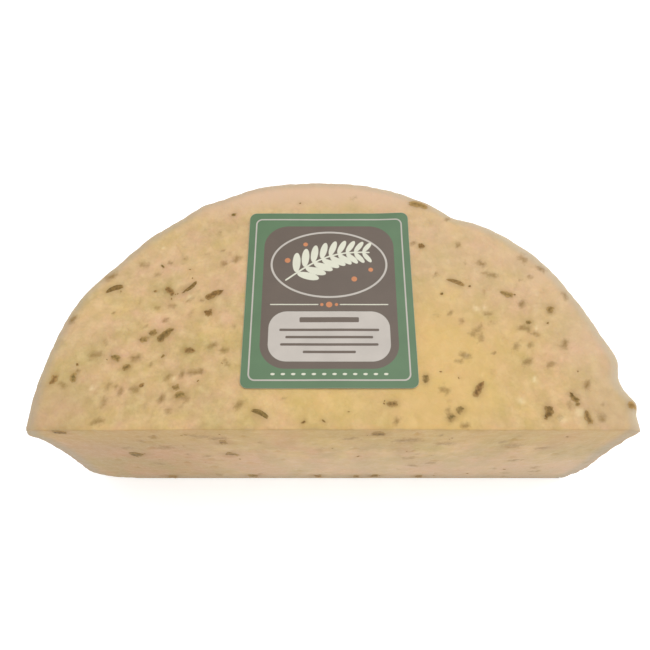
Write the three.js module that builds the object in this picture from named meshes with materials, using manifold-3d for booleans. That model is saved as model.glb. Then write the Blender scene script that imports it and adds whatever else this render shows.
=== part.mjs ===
// A half wheel of herb cheddar, lying flat on its base, with a paper label stuck on its top face.
// The wheel was cut upright through its middle. Its rim is the uneven outside of a pressed cheese,
// with one flattened stretch, a nick and a small curd knob. Chopped herbs lie in the paste and
// stand a little proud where they reach the surface.
// Millimetres, +Z up. The cut face looks towards -Y and the curved rim is behind it. The origin is
// the middle of the footprint, on the base. The wheel's own axis is half a radius in front of it, and
// a little to the left, because the right-hand end of the rim is swollen.

import * as THREE from "three";
import { mergeVertices } from "three/addons/utils/BufferGeometryUtils.js";
import Module from "manifold-3d";

// The wheel
const WHEEL_RADIUS = 115.5;
const WHEEL_HEIGHT = 89;
const AXIS = { x: -1.9, y: -WHEEL_RADIUS / 2 };
const TOP_EDGE_ROUNDING = 4;
const BASE_EDGE_ROUNDING = { left: 15, right: 8 };

// The label
const LABEL = { width: 69.5, length: 81, thickness: 0.25, corner: 4, x: -1, fromCut: 56.6 };
const GLUE = 0.05;
const LABEL_MARGIN = 2; // of flat cheese round the label

// The top face is flat under the label and sinks a little, in shallow waves, away from it.
const TOP_SINK = 1.4;
const TOP_SINK_FADE = { start: 2, end: 34 };
const TOP_WAVE_SHARE = 0.3; // how much of the sink each wave takes
const TOP_WAVES = [
  { across: 70, along: 107 }, // wavelengths
  { across: -145, along: 57 },
];

// Swells and hollows of the rim. Each one is a round lobe: its angle seen from above (0 at the
// right-hand end of the cut, 90 at the back), its height, how far it reaches, and how wide and
// tall it is.
const RIM_LOBES = [
  { angle: 151, height: 66, reach: 2.6, wide: 7, tall: 42 },
  { angle: 119, height: 72, reach: 2.0, wide: 4, tall: 34 },
  { angle: 104, height: 60, reach: 1.0, wide: 9, tall: 40 },
  { angle: 65, height: 74, reach: -3.2, wide: 11, tall: 44 },
  { angle: 58.5, height: 80, reach: -1.8, wide: 4.5, tall: 26 },
  { angle: 38, height: 62, reach: 1.2, wide: 6, tall: 40 },
  { angle: 10, height: 86, reach: -3.0, wide: 2.8, tall: 16 },
  { angle: 5.2, height: 84, reach: 1.4, wide: 1.5, tall: 9 },
  { angle: -4, height: 22, reach: 3.6, wide: 17, tall: 26 },
  { angle: 184, height: 52, reach: -1.9, wide: 12, tall: 30 },
];

// Herb flakes that show largest, as [across, along, length, width, turn in degrees].
// On the top face, across is from the wheel's axis and along is from the cut.
const TOP_HERBS = [
  [-90, 60, 8, 2.6, 25],
  [-67, 59, 5.5, 2.6, -45],
  [-59, 61, 8.5, 2.2, 42],
  [-48, 57, 8, 2.8, 28],
  [-50, 49, 3.6, 3, 0],
  [-66, 39, 8.5, 3, 42],
  [-75, 37, 3, 2.6, 0],
  [-85, 29, 4, 2.4, -25],
  [-80, 25, 3.6, 2.4, 30],
  [-100, 21, 4.2, 2.4, 90],
  [-56, 32, 4.4, 2.6, 0],
  [-60, 17, 3.2, 2.4, 10],
  [-76, 16, 3.4, 2.2, -10],
  [-27, 6, 7.5, 2.4, -25],
  [23, 10, 4.4, 2.4, 0],
  [52, 63, 8.5, 2.4, -20],
  [73, 58, 5.6, 2.2, -20],
  [68, 67, 4, 2, 5],
  [78, 42, 5.4, 2.6, -5],
  [53, 30, 4, 2.4, -10],
  [57, 16, 7.5, 2.8, 58],
  [82, 7, 5.2, 3.2, 75],
  [93, 13, 5.2, 2.2, -55],
  [97, 5, 5.5, 2.2, -80],
];
// On the cut face, across is from the wheel's axis and along is up from the base.
const CUT_HERBS = [
  [-83, 49, 5, 3, 15],
  [-43, 69, 3.4, 2.6, 0],
  [-43, 51, 4, 3, 30],
  [18, 82, 5.4, 2.6, 0],
  [30, 73, 9, 3, 12],
  [-101, 84, 4.6, 2.4, -20],
];

// The rest are drawn by a seeded rule, so many to a face, each clear of the ones before it.
const DRAWN_HERBS = { top: 12, cut: 16, rim: 34 };
const HERB_SIZE = { length: [2.6, 5.6], width: [1.6, 2.6] };
const HERB_CLEARANCE = 8;
const HERB_EDGE_MARGIN = 8;
const HERB_SEED = 4127;
const HERB_PROUD = 0.45;
const HERB_ROOT = 1.3;
const HERB_SIDES = 6;
const HERB_TOP_SHARE = 0.7; // a flake's top against its foot

// How finely the solid is divided
const ARC_STEPS = 88;
const CUT_STEPS = 28;
const SIDE_RINGS = 8;
const TOP_EDGE_RINGS = 3;
const BASE_EDGE_RINGS = 4;
const TOP_FACE_RINGS = 8;
const INNER_RING = 0.12; // size of the smallest ring of the top face against its outline

const bell = (distance, spread) => Math.exp(-((distance / spread) ** 2));

// The wheel's radius at an angle in degrees and a height above the base.
function rimRadius(angle, height) {
  let radius = WHEEL_RADIUS;
  for (const lobe of RIM_LOBES) {
    radius += lobe.reach * bell(angle - lobe.angle, lobe.wide) * bell(height - lobe.height, lobe.tall);
  }
  return radius;
}

// How far a point of the top face lies outside the label's flat patch.
function distanceToPatch(x, fromCut) {
  const acrossOut = Math.abs(x - LABEL.x) - LABEL.width / 2 - LABEL_MARGIN;
  const alongOut = Math.abs(fromCut - LABEL.fromCut) - LABEL.length / 2 - LABEL_MARGIN;
  return Math.hypot(Math.max(acrossOut, 0), Math.max(alongOut, 0));
}

// How far the top face lies below the wheel's full height.
function topDrop(x, fromCut) {
  const fade = THREE.MathUtils.smoothstep(
    distanceToPatch(x, fromCut),
    TOP_SINK_FADE.start,
    TOP_SINK_FADE.end,
  );
  let depth = 1;
  for (const wave of TOP_WAVES) {
    const phase = 2 * Math.PI * (x / wave.across + fromCut / wave.along);
    depth -= TOP_WAVE_SHARE * (0.5 + 0.5 * Math.sin(phase));
  }
  return TOP_SINK * fade * depth;
}

// The outline of the wheel at one height, drawn in from the rim by an inset that may change with
// the angle: the rim from right to left, then the straight cut back to the start.
function halfWheelRing(height, insetAt) {
  const ring = [];
  for (let i = 0; i <= ARC_STEPS; i++) {
    const angle = (180 * i) / ARC_STEPS;
    const radius = rimRadius(angle, height) - insetAt(angle);
    const turn = THREE.MathUtils.degToRad(angle);
    ring.push(new THREE.Vector3(radius * Math.cos(turn), radius * Math.sin(turn), height));
  }
  const left = ring[ARC_STEPS].x;
  const right = ring[0].x;
  ring[ARC_STEPS].y = 0;
  for (let i = 1; i < CUT_STEPS; i++) {
    ring.push(new THREE.Vector3(THREE.MathUtils.lerp(left, right, i / CUT_STEPS), 0, height));
  }
  return ring;
}

// The rings from the base to the middle of the top face.
function cheeseRings() {
  const rings = [];
  const baseRounding = (angle) =>
    THREE.MathUtils.lerp(BASE_EDGE_ROUNDING.right, BASE_EDGE_ROUNDING.left, angle / 180);
  const deepest = Math.max(BASE_EDGE_ROUNDING.left, BASE_EDGE_ROUNDING.right);
  for (let i = 0; i <= BASE_EDGE_RINGS; i++) {
    const lift = 1 - Math.cos((Math.PI / 2) * (i / BASE_EDGE_RINGS));
    const inset = (angle) => {
      const rounding = baseRounding(angle);
      const below = Math.max(0, 1 - (lift * deepest) / rounding);
      return rounding * (1 - Math.sqrt(1 - below * below));
    };
    rings.push(halfWheelRing(lift * deepest, inset));
  }
  const straightTop = WHEEL_HEIGHT - TOP_EDGE_ROUNDING;
  for (let i = 1; i < SIDE_RINGS; i++) {
    rings.push(halfWheelRing(THREE.MathUtils.lerp(deepest, straightTop, i / SIDE_RINGS), () => 0));
  }
  for (let i = 0; i <= TOP_EDGE_RINGS; i++) {
    const turn = (Math.PI / 2) * (i / TOP_EDGE_RINGS);
    const inset = TOP_EDGE_ROUNDING * (1 - Math.cos(turn));
    rings.push(halfWheelRing(straightTop + TOP_EDGE_ROUNDING * Math.sin(turn), () => inset));
  }
  const edge = rings.at(-1);
  const middle = new THREE.Vector3(LABEL.x, LABEL.fromCut, WHEEL_HEIGHT);
  for (let i = 1; i <= TOP_FACE_RINGS; i++) {
    const share = THREE.MathUtils.lerp(1, INNER_RING, i / TOP_FACE_RINGS);
    rings.push(edge.map((point) => middle.clone().lerp(point, share)));
  }
  for (const point of rings.slice(-TOP_FACE_RINGS - TOP_EDGE_RINGS).flat()) {
    point.z -= topDrop(point.x, point.y) * THREE.MathUtils.smoothstep(point.z, straightTop, WHEEL_HEIGHT);
  }
  return rings;
}

// One closed surface through rings that have the same number of points, with a flat cap on each
// end. The rings run counterclockwise seen from above, from the bottom upwards.
function loft(rings) {
  const count = rings[0].length;
  const vertices = rings.flat();
  const faces = [];
  for (let r = 0; r + 1 < rings.length; r++) {
    for (let i = 0; i < count; i++) {
      const next = (i + 1) % count;
      const [a, b] = [r * count + i, r * count + next];
      const [c, d] = [a + count, b + count];
      faces.push(a, b, d, a, d, c);
    }
  }
  const cap = (ring, first, upwards) => {
    const outline = ring.map((point) => new THREE.Vector2(point.x, point.y));
    for (const [a, b, c] of THREE.ShapeUtils.triangulateShape(outline, [])) {
      faces.push(...(upwards ? [a, b, c] : [a, c, b]).map((index) => index + first));
    }
  };
  cap(rings[0], 0, false);
  cap(rings.at(-1), vertices.length - count, true);
  const geometry = new THREE.BufferGeometry().setFromPoints(vertices);
  geometry.setIndex(faces);
  return geometry;
}

// A seeded draw of numbers from 0 to 1.
function seededDraw(seed) {
  let state = seed;
  return () => {
    state = (state * 1664525 + 1013904223) % 4294967296;
    return state / 4294967296;
  };
}

// Each face that herbs show on: where a flake may lie, and the frame it lies in. Along the rim,
// across is the angle in degrees and along is the height.
const FACES = {
  top: {
    room: { across: [-WHEEL_RADIUS, WHEEL_RADIUS], along: [0, WHEEL_RADIUS] },
    fits: (x, fromCut) =>
      Math.hypot(x, fromCut) < WHEEL_RADIUS - HERB_EDGE_MARGIN - TOP_EDGE_ROUNDING &&
      fromCut > HERB_EDGE_MARGIN &&
      distanceToPatch(x, fromCut) > HERB_EDGE_MARGIN / 2,
    point: (x, fromCut) => new THREE.Vector3(x, fromCut, WHEEL_HEIGHT - topDrop(x, fromCut)),
    normal: () => new THREE.Vector3(0, 0, 1),
    sideways: () => new THREE.Vector3(1, 0, 0),
  },
  cut: {
    room: { across: [-WHEEL_RADIUS, WHEEL_RADIUS], along: [0, WHEEL_HEIGHT] },
    fits: (x, height) =>
      Math.abs(x) < WHEEL_RADIUS - BASE_EDGE_ROUNDING.left &&
      height > HERB_EDGE_MARGIN &&
      height < WHEEL_HEIGHT - HERB_EDGE_MARGIN,
    point: (x, height) => new THREE.Vector3(x, 0, height),
    normal: () => new THREE.Vector3(0, -1, 0),
    sideways: () => new THREE.Vector3(1, 0, 0),
  },
  rim: {
    room: { across: [0, 180], along: [0, WHEEL_HEIGHT] },
    fits: (angle, height) =>
      Math.min(angle, 180 - angle) > HERB_EDGE_MARGIN / 2 &&
      height > BASE_EDGE_ROUNDING.left + HERB_EDGE_MARGIN / 2 &&
      height < WHEEL_HEIGHT - TOP_EDGE_ROUNDING - HERB_EDGE_MARGIN / 2,
    point: (angle, height) => onRim(angle).multiplyScalar(rimRadius(angle, height)).setZ(height),
    normal: (angle) => onRim(angle),
    sideways: (angle) => onRim(angle + 90),
  },
};

// The outward direction at an angle of the rim.
function onRim(angle) {
  const turn = THREE.MathUtils.degToRad(angle);
  return new THREE.Vector3(Math.cos(turn), Math.sin(turn), 0);
}

// The listed flakes of each face and the drawn ones, each as its face and its five numbers.
function allHerbs() {
  const draw = seededDraw(HERB_SEED);
  const between = ([low, high]) => low + (high - low) * draw();
  const listed = { top: TOP_HERBS, cut: CUT_HERBS, rim: [] };
  const herbs = [];
  for (const [name, face] of Object.entries(FACES)) {
    const placed = [...listed[name]];
    while (placed.length < listed[name].length + DRAWN_HERBS[name]) {
      const across = between(face.room.across);
      const along = between(face.room.along);
      const here = face.point(across, along);
      const crowded = placed.some(([a, b]) => face.point(a, b).distanceTo(here) < HERB_CLEARANCE);
      if (crowded || !face.fits(across, along)) continue;
      placed.push([across, along, between(HERB_SIZE.length), between(HERB_SIZE.width), between([0, 180])]);
    }
    herbs.push(...placed.map((flake) => ({ face, flake })));
  }
  return herbs;
}

// One flake: a flat six-sided chip, rooted in the cheese, that stands a little proud of it.
function herbGeometry({ face, flake: [across, along, length, width, turn] }) {
  const chip = new THREE.CylinderGeometry(HERB_TOP_SHARE, 1, HERB_ROOT + HERB_PROUD, HERB_SIDES);
  chip.rotateX(Math.PI / 2);
  chip.translate(0, 0, (HERB_PROUD - HERB_ROOT) / 2);
  chip.scale(length / 2, width / 2, 1);
  chip.rotateZ(THREE.MathUtils.degToRad(turn));
  const normal = face.normal(across);
  const sideways = face.sideways(across);
  const upwards = normal.clone().cross(sideways);
  const frame = new THREE.Matrix4().makeBasis(sideways, upwards, normal);
  frame.setPosition(face.point(across, along));
  return chip.applyMatrix4(frame);
}

const wasm = await Module();
wasm.setup();

// A closed geometry as a solid that can be joined to others.
function toSolid(geometry) {
  const bare = geometry.clone();
  bare.deleteAttribute("normal");
  bare.deleteAttribute("uv");
  const merged = mergeVertices(bare, 1e-4);
  return new wasm.Manifold(
    new wasm.Mesh({
      numProp: 3,
      vertProperties: new Float32Array(merged.attributes.position.array),
      triVerts: new Uint32Array(merged.index.array),
    }),
  );
}

// A solid's surface as a geometry again.
function toGeometry(solid) {
  const mesh = solid.getMesh();
  const geometry = new THREE.BufferGeometry();
  geometry.setAttribute("position", new THREE.BufferAttribute(mesh.vertProperties, 3));
  geometry.setIndex(new THREE.BufferAttribute(mesh.triVerts, 1));
  geometry.computeVertexNormals();
  return geometry;
}

// The cheese in one piece, with its herb flakes fused on.
function cheeseMesh() {
  let solid = toSolid(loft(cheeseRings()));
  for (const herb of allHerbs()) {
    solid = solid.add(toSolid(herbGeometry(herb)));
  }
  const paste = new THREE.MeshStandardMaterial({ color: 0xd9b988, roughness: 0.55, metalness: 0 });
  const mesh = new THREE.Mesh(toGeometry(solid), paste);
  mesh.name = "cheese";
  return mesh;
}

// The paper label, flat on the top face.
function labelMesh() {
  const { width, length, corner, thickness } = LABEL;
  const [right, top] = [width / 2, length / 2];
  const outline = new THREE.Shape();
  outline.moveTo(corner - right, -top);
  outline.lineTo(right - corner, -top);
  outline.absarc(right - corner, corner - top, corner, -Math.PI / 2, 0);
  outline.lineTo(right, top - corner);
  outline.absarc(right - corner, top - corner, corner, 0, Math.PI / 2);
  outline.lineTo(corner - right, top);
  outline.absarc(corner - right, top - corner, corner, Math.PI / 2, Math.PI);
  outline.lineTo(-right, corner - top);
  outline.absarc(corner - right, corner - top, corner, Math.PI, 1.5 * Math.PI);
  const geometry = new THREE.ExtrudeGeometry(outline, {
    depth: thickness,
    bevelEnabled: false,
    curveSegments: 5,
  });
  const paper = new THREE.MeshStandardMaterial({ color: 0x6f9a7c, roughness: 0.5, metalness: 0 });
  const mesh = new THREE.Mesh(geometry, paper);
  mesh.name = "label";
  mesh.position.set(LABEL.x, LABEL.fromCut, WHEEL_HEIGHT + GLUE);
  return mesh;
}

const halfWheel = new THREE.Group();
halfWheel.name = "half_wheel_of_herb_cheddar";
halfWheel.add(cheeseMesh(), labelMesh());
halfWheel.position.set(AXIS.x, AXIS.y, 0);

export default halfWheel;
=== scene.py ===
"""A half wheel of herb cheddar with a paper label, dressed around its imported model.

The half wheel lies flat, its cut face towards -Y and its curved rim behind. The paste, the herbs
that show in it and the label are modelled here at their real size, in the model's own frame:
metres, +Z up, with the origin in the middle of the footprint. Sizes in the classes below are in
millimetres, and angles are in degrees.
"""

import logging
import math
import random
from collections.abc import Iterator, Sequence
from dataclasses import dataclass
from enum import Enum
from functools import cached_property

import bpy
import numpy as np
from mathutils import Matrix, Vector, noise
from mathutils.bvhtree import BVHTree

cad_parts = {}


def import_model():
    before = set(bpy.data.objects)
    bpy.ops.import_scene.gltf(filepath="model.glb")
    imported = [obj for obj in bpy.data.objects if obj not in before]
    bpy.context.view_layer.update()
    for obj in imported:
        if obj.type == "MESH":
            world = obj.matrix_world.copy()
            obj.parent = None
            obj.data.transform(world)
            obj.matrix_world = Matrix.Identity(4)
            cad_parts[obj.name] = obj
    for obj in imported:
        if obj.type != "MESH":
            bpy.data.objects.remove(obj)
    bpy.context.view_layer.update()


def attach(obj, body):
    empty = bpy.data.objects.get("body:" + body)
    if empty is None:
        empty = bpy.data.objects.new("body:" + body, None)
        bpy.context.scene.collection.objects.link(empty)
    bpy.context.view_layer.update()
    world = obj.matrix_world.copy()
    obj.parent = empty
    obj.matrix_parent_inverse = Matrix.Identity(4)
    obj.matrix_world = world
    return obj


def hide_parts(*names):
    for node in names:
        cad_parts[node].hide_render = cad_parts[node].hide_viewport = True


log = logging.getLogger("herb_cheddar")

Array = np.ndarray
Piece = bpy.types.Object
Link = bpy.types.Node | bpy.types.NodeSocket

MM = 0.001

# A Mix node's sockets for colours are found by number, because its others have the same names.
MIX_SHARE, MIX_UNDER, MIX_OVER, MIX_RESULT = 0, 6, 7, 2


def linear_colour(hex_value: str) -> tuple[float, float, float, float]:
    """Turns an sRGB hex colour into the linear colour that a shader takes.

    Args:
        hex_value: Six hex digits, such as "d9b988".

    Returns:
        Linear red, green, blue and an alpha of 1.
    """
    channels = [int(hex_value[i : i + 2], 16) / 255 for i in (0, 2, 4)]
    linear = [c / 12.92 if c <= 0.04045 else ((c + 0.055) / 1.055) ** 2.4 for c in channels]
    return (*linear, 1.0)


def per_metre(size_mm: float) -> float:
    """Gives the texture scale, in metres, of a pattern that repeats every size_mm."""
    return 1.0 / (size_mm * MM)


def bell(distance: Array, spread: float) -> Array:
    """Falls from 1 at no distance towards 0, past about twice the spread."""
    return np.exp(-((distance / spread) ** 2))


@dataclass(frozen=True)
class Fade:
    """A smooth change from 0 at its start to 1 at its end, which may lie below its start."""

    start: float
    end: float

    def at(self, values: Array) -> Array:
        """Reads the change at each value."""
        share = np.clip((values - self.start) / (self.end - self.start), 0.0, 1.0)
        return share * share * (3.0 - 2.0 * share)


@dataclass(frozen=True)
class Ramp:
    """How a material spreads a pattern's values: start becomes low and end becomes high."""

    start: float
    end: float
    low: float = 0.0
    high: float = 1.0
    smooth: bool = False

    @property
    def curve(self) -> str:
        """The name of the curve between its ends."""
        return "SMOOTHSTEP" if self.smooth else "LINEAR"

    def of(self, value: Link) -> dict[str, object]:
        """Gives the inputs that spread a pattern's value so."""
        ends = {"From Min": self.start, "From Max": self.end, "To Min": self.low, "To Max": self.high}
        return {"Value": value, **ends}


@dataclass(frozen=True)
class Grain:
    """A noise pattern: the size of its lumps in millimetres, its detail and its roughness."""

    size: float
    detail: float = 2.0
    roughness: float = 0.5

    def of(self, place: Link) -> dict[str, object]:
        """Gives the inputs that lay it over coordinates."""
        lumps = {"Detail": self.detail, "Roughness": self.roughness}
        return {"Vector": place, "Scale": per_metre(self.size), **lumps}


@dataclass(frozen=True)
class Relief:
    """A relief finer than the mesh: its height in millimetres and its strength."""

    height: float
    strength: float = 0.6

    def of(self, pattern: Link) -> dict[str, object]:
        """Gives the inputs that raise a pattern so."""
        return {"Height": pattern, "Distance": self.height * MM, "Strength": self.strength}


def seeded_draws(seed: int) -> Iterator[float]:
    """Draws numbers from 0 to 1 by the rule that the solid's own herbs were drawn by.

    Args:
        seed: The rule's starting state.

    Yields:
        One number after another.
    """
    factor, addend, span = 1664525, 1013904223, 2**32
    state = seed
    while True:
        state = (state * factor + addend) % span
        yield state / span


def begin() -> None:
    """Leaves edit mode and deselects everything, so that an operator meets nothing else."""
    if bpy.context.object and bpy.context.object.mode != "OBJECT":
        bpy.ops.object.mode_set(mode="OBJECT")
    bpy.ops.object.select_all(action="DESELECT")


def choose(piece: Piece) -> None:
    """Selects one piece alone and makes it the active one.

    Args:
        piece: The object.
    """
    begin()
    piece.select_set(True)
    bpy.context.view_layer.objects.active = piece


def named_primitive(name: str) -> Piece:
    """Names the primitive that was just added, and its mesh.

    Args:
        name: The piece's name.

    Returns:
        The object.
    """
    piece = bpy.context.object
    piece.name = name
    piece.data.name = name
    return piece


def settle(piece: Piece) -> None:
    """Puts a piece's place, turn and scale into its mesh, with its object at the origin."""
    choose(piece)
    bpy.ops.object.transform_apply(location=True, rotation=True, scale=True)


def finish_modifier(piece: Piece, kind: str, **settings: object) -> None:
    """Adds a modifier with its settings and applies it.

    Args:
        piece: The object to change.
        kind: The modifier's type.
        **settings: The modifier's settings by name.
    """
    choose(piece)
    modifier = piece.modifiers.new(kind.title(), kind)
    for key, value in settings.items():
        setattr(modifier, key, value)
    bpy.ops.object.modifier_apply(modifier=modifier.name)


def read_vectors(piece: Piece, kind: str) -> Array:
    """Reads a vector at each of a mesh's points.

    Args:
        piece: The object.
        kind: Its place, "co", in metres, or the direction that the mesh faces there, "normal".

    Returns:
        The vectors, one row each.
    """
    flat = np.empty(len(piece.data.vertices) * 3, np.float32)
    piece.data.vertices.foreach_get(kind, flat)
    return flat.reshape(-1, 3).astype(float)


def write_points(piece: Piece, points: Array) -> None:
    """Writes a mesh's points back, from millimetres."""
    piece.data.vertices.foreach_set("co", (points * MM).astype(np.float32).ravel())
    piece.data.update()


def write_attribute(piece: Piece, name: str, values: Array) -> None:
    """Stores one number at each point of a mesh, for its material to read."""
    attribute = piece.data.attributes.new(name, "FLOAT", "POINT")
    attribute.data.foreach_set("value", values.astype(np.float32))


def noise_at(points: Array, grain: float, shift: float) -> Array:
    """Reads a smooth noise, from about -1 to 1, whose lumps have the grain's size in millimetres."""
    return np.array([noise.noise(Vector(point) / grain + Vector((shift, 0, -shift))) for point in points])


def add_node(
    tree: bpy.types.NodeTree, kind: str, inputs: dict[str | int, object] | None = None, **settings: object
) -> bpy.types.Node:
    """Adds a node with its settings, and fills its inputs.

    Args:
        tree: The node tree.
        kind: The node's type, without the ShaderNode that it starts with.
        inputs: A value, an output, or a node for its first output, for each input by name or number.
        **settings: The node's own settings by name.

    Returns:
        The node.
    """
    node = tree.nodes.new(f"ShaderNode{kind}")
    for key, value in settings.items():
        setattr(node, key, value)
    for key, value in (inputs or {}).items():
        if isinstance(value, bpy.types.Node):
            value = value.outputs[0]
        if isinstance(value, bpy.types.NodeSocket):
            tree.links.new(value, node.inputs[key])
        else:
            node.inputs[key].default_value = value
    return node


class Face(Enum):
    """The faces of the half wheel that herbs show on."""

    TOP = "top"
    CUT = "cut"
    RIM = "rim"


@dataclass(frozen=True)
class RimLobe:
    """One round swelling or hollow of the rim.

    Its angle is 0 at the right-hand end of the cut and 90 at the back. Wide is in degrees.
    """

    angle: float
    height: float
    reach: float
    wide: float
    tall: float

    def at(self, angle: Array, height: Array) -> Array:
        """Gives how far it reaches out at each place of the rim."""
        return self.reach * bell(angle - self.angle, self.wide) * bell(height - self.height, self.tall)


@dataclass(frozen=True)
class Wave:
    """A wave in the top face, by its wavelengths across and along."""

    across: float
    along: float

    def at(self, x: Array, from_cut: Array) -> Array:
        """Gives the wave's height, from 0 to 1, at each place."""
        return 0.5 + 0.5 * np.sin(2 * math.pi * (x / self.across + from_cut / self.along))


@dataclass(frozen=True)
class WheelForm:
    """The half wheel's sizes and the rules of its uneven outline, as in the solid."""

    radius: float = 115.5
    fullness: float = 1.1
    height: float = 89.0
    axis_x: float = -1.9
    top_rounding: float = 4.0
    base_rounding_left: float = 15.0
    base_rounding_right: float = 8.0
    base_fullness_left: float = 5.0
    base_fullness_right: float = -5.5
    top_sink: float = 1.4
    sink_round_label: Fade = Fade(2.0, 34.0)
    wave_share: float = 0.3
    waves: tuple[Wave, ...] = (Wave(70, 107), Wave(-145, 57))
    patch_x: float = -1.0
    patch_from_cut: float = 56.6
    patch_width: float = 73.5
    patch_length: float = 85.0
    lobes: tuple[RimLobe, ...] = (
        RimLobe(181, 89, -0.6, 10, 22),
        RimLobe(180, 80.5, 2.2, 2.0, 4.0),
        RimLobe(160, 84, 0.8, 5, 32),
        RimLobe(151, 66, 2.6, 7, 42),
        RimLobe(132, 78, 0.7, 6, 40),
        RimLobe(119, 72, 2.0, 4, 34),
        RimLobe(104, 60, 1.0, 9, 40),
        RimLobe(108, 82, 1.1, 7, 30),
        RimLobe(65, 74, -3.2, 13, 44),
        RimLobe(60.5, 80, -2.4, 4.2, 26),
        RimLobe(39, 62, 1.4, 6, 40),
        RimLobe(14, 84, 1.7, 3.5, 18),
        RimLobe(10.5, 86, -2.6, 3.2, 16),
        RimLobe(5.2, 84, 1.4, 1.5, 9),
        RimLobe(-4, 22, 3.6, 17, 26),
        RimLobe(184, 52, -3.0, 12, 30),
    )

    @property
    def axis_y(self) -> float:
        """Where the wheel's axis, and the cut through it, lie along Y."""
        return -self.radius / 2

    def rim_radius(self, angle: Array, height: Array) -> Array:
        """Gives the wheel's radius at angles and heights, a little fuller than the solid's."""
        return sum((lobe.at(angle, height) for lobe in self.lobes), self.radius + self.fullness)

    def within_rim(self, x: Array, height: Array) -> Array:
        """Gives how far inside the rim each place of the cut face lies."""
        return self.rim_radius(np.where(x > 0, 0.0, 180.0), height) - np.abs(x)

    def base_rounding(self, angle: Array) -> Array:
        """Gives how far up the rim its rounded lower edge reaches.

        Args:
            angle: Degrees round the axis from the right-hand end of the cut.

        Returns:
            The rounding at each angle.
        """
        left = self.base_rounding_left + self.base_fullness_left
        right = self.base_rounding_right + self.base_fullness_right
        return right + (left - right) * angle / 180

    def distance_to_patch(self, x: Array, from_cut: Array) -> Array:
        """Gives how far outside the label's flat patch a point of the top face lies.

        Args:
            x: Millimetres across, from the wheel's axis.
            from_cut: Millimetres back from the cut.

        Returns:
            The distance, 0 inside.
        """
        across = np.maximum(np.abs(x - self.patch_x) - self.patch_width / 2, 0)
        along = np.maximum(np.abs(from_cut - self.patch_from_cut) - self.patch_length / 2, 0)
        return np.hypot(across, along)

    def top_drop(self, x: Array, from_cut: Array) -> Array:
        """Gives how far the top face lies below the wheel's full height.

        Args:
            x: Millimetres across, from the wheel's axis.
            from_cut: Millimetres back from the cut.

        Returns:
            The drop at each point.
        """
        depth = 1.0
        for wave in self.waves:
            depth = depth - self.wave_share * wave.at(x, from_cut)
        return self.top_sink * self.sink_round_label.at(self.distance_to_patch(x, from_cut)) * depth

    def outward(self, angle: float) -> Vector:
        """Gives the direction away from the axis at an angle of the rim."""
        return Vector((math.cos(math.radians(angle)), math.sin(math.radians(angle)), 0))

    def spot(self, face: Face, across: float, along: float) -> tuple[Vector, Vector, Vector]:
        """Finds a spot on one face.

        Args:
            face: The face.
            across: Millimetres from the axis, or degrees round the rim.
            along: Millimetres from the cut on the top face, and above the base on the others.

        Returns:
            The spot, the direction away from the cheese, and the direction across.
        """
        foot = Vector((self.axis_x, self.axis_y, 0))
        if face is Face.TOP:
            drop = float(self.top_drop(np.float64(across), np.float64(along)))
            spot = Vector((across, along, self.height - drop))
            return foot + spot, Vector((0, 0, 1)), Vector((1, 0, 0))
        if face is Face.CUT:
            return foot + Vector((across, 0, along)), Vector((0, -1, 0)), Vector((1, 0, 0))
        away = self.outward(across)
        radius = float(self.rim_radius(np.float64(across), np.float64(along)))
        return foot + away * radius + Vector((0, 0, along)), away, self.outward(across + 90)


class HerbKind(Enum):
    """What a bit of herb is, which gives its shape."""

    LEAF = "leaf"
    STALK = "stalk"
    SPECK = "speck"


@dataclass(frozen=True)
class Herb:
    """One bit of herb: its face, its place there, its size and how it is turned.

    Veil is how much paste covers it: 0 lies open, and from STAIN_FROM it is only a soft stain.
    """

    STAIN_FROM = 0.3

    face: Face
    across: float
    along: float
    length: float
    width: float
    turn: float
    veil: float = 0.0
    kind: HerbKind = HerbKind.LEAF

    @property
    def lies_open(self) -> bool:
        """Whether the bit itself shows, and not only its stain."""
        return self.veil < self.STAIN_FROM


@dataclass(frozen=True)
class FaceHerbs:
    """How the solid's flakes show on one face.

    Fullness widens them all. Of those that are listed, and of those that are drawn by chance, a
    share of the length shows. Drawn_veil is how much paste covers the drawn ones.
    """

    fullness: float
    listed_share: float
    drawn: int
    drawn_share: float
    drawn_veil: float


@dataclass(frozen=True)
class Strewing:
    """A draw of small bits of herb: how many each face gets, their lengths and the paste over them."""

    kind: HerbKind
    counts: tuple[tuple[Face, int], ...]
    lengths: tuple[float, float]
    veils: tuple[float, float]
    seed: int


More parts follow.
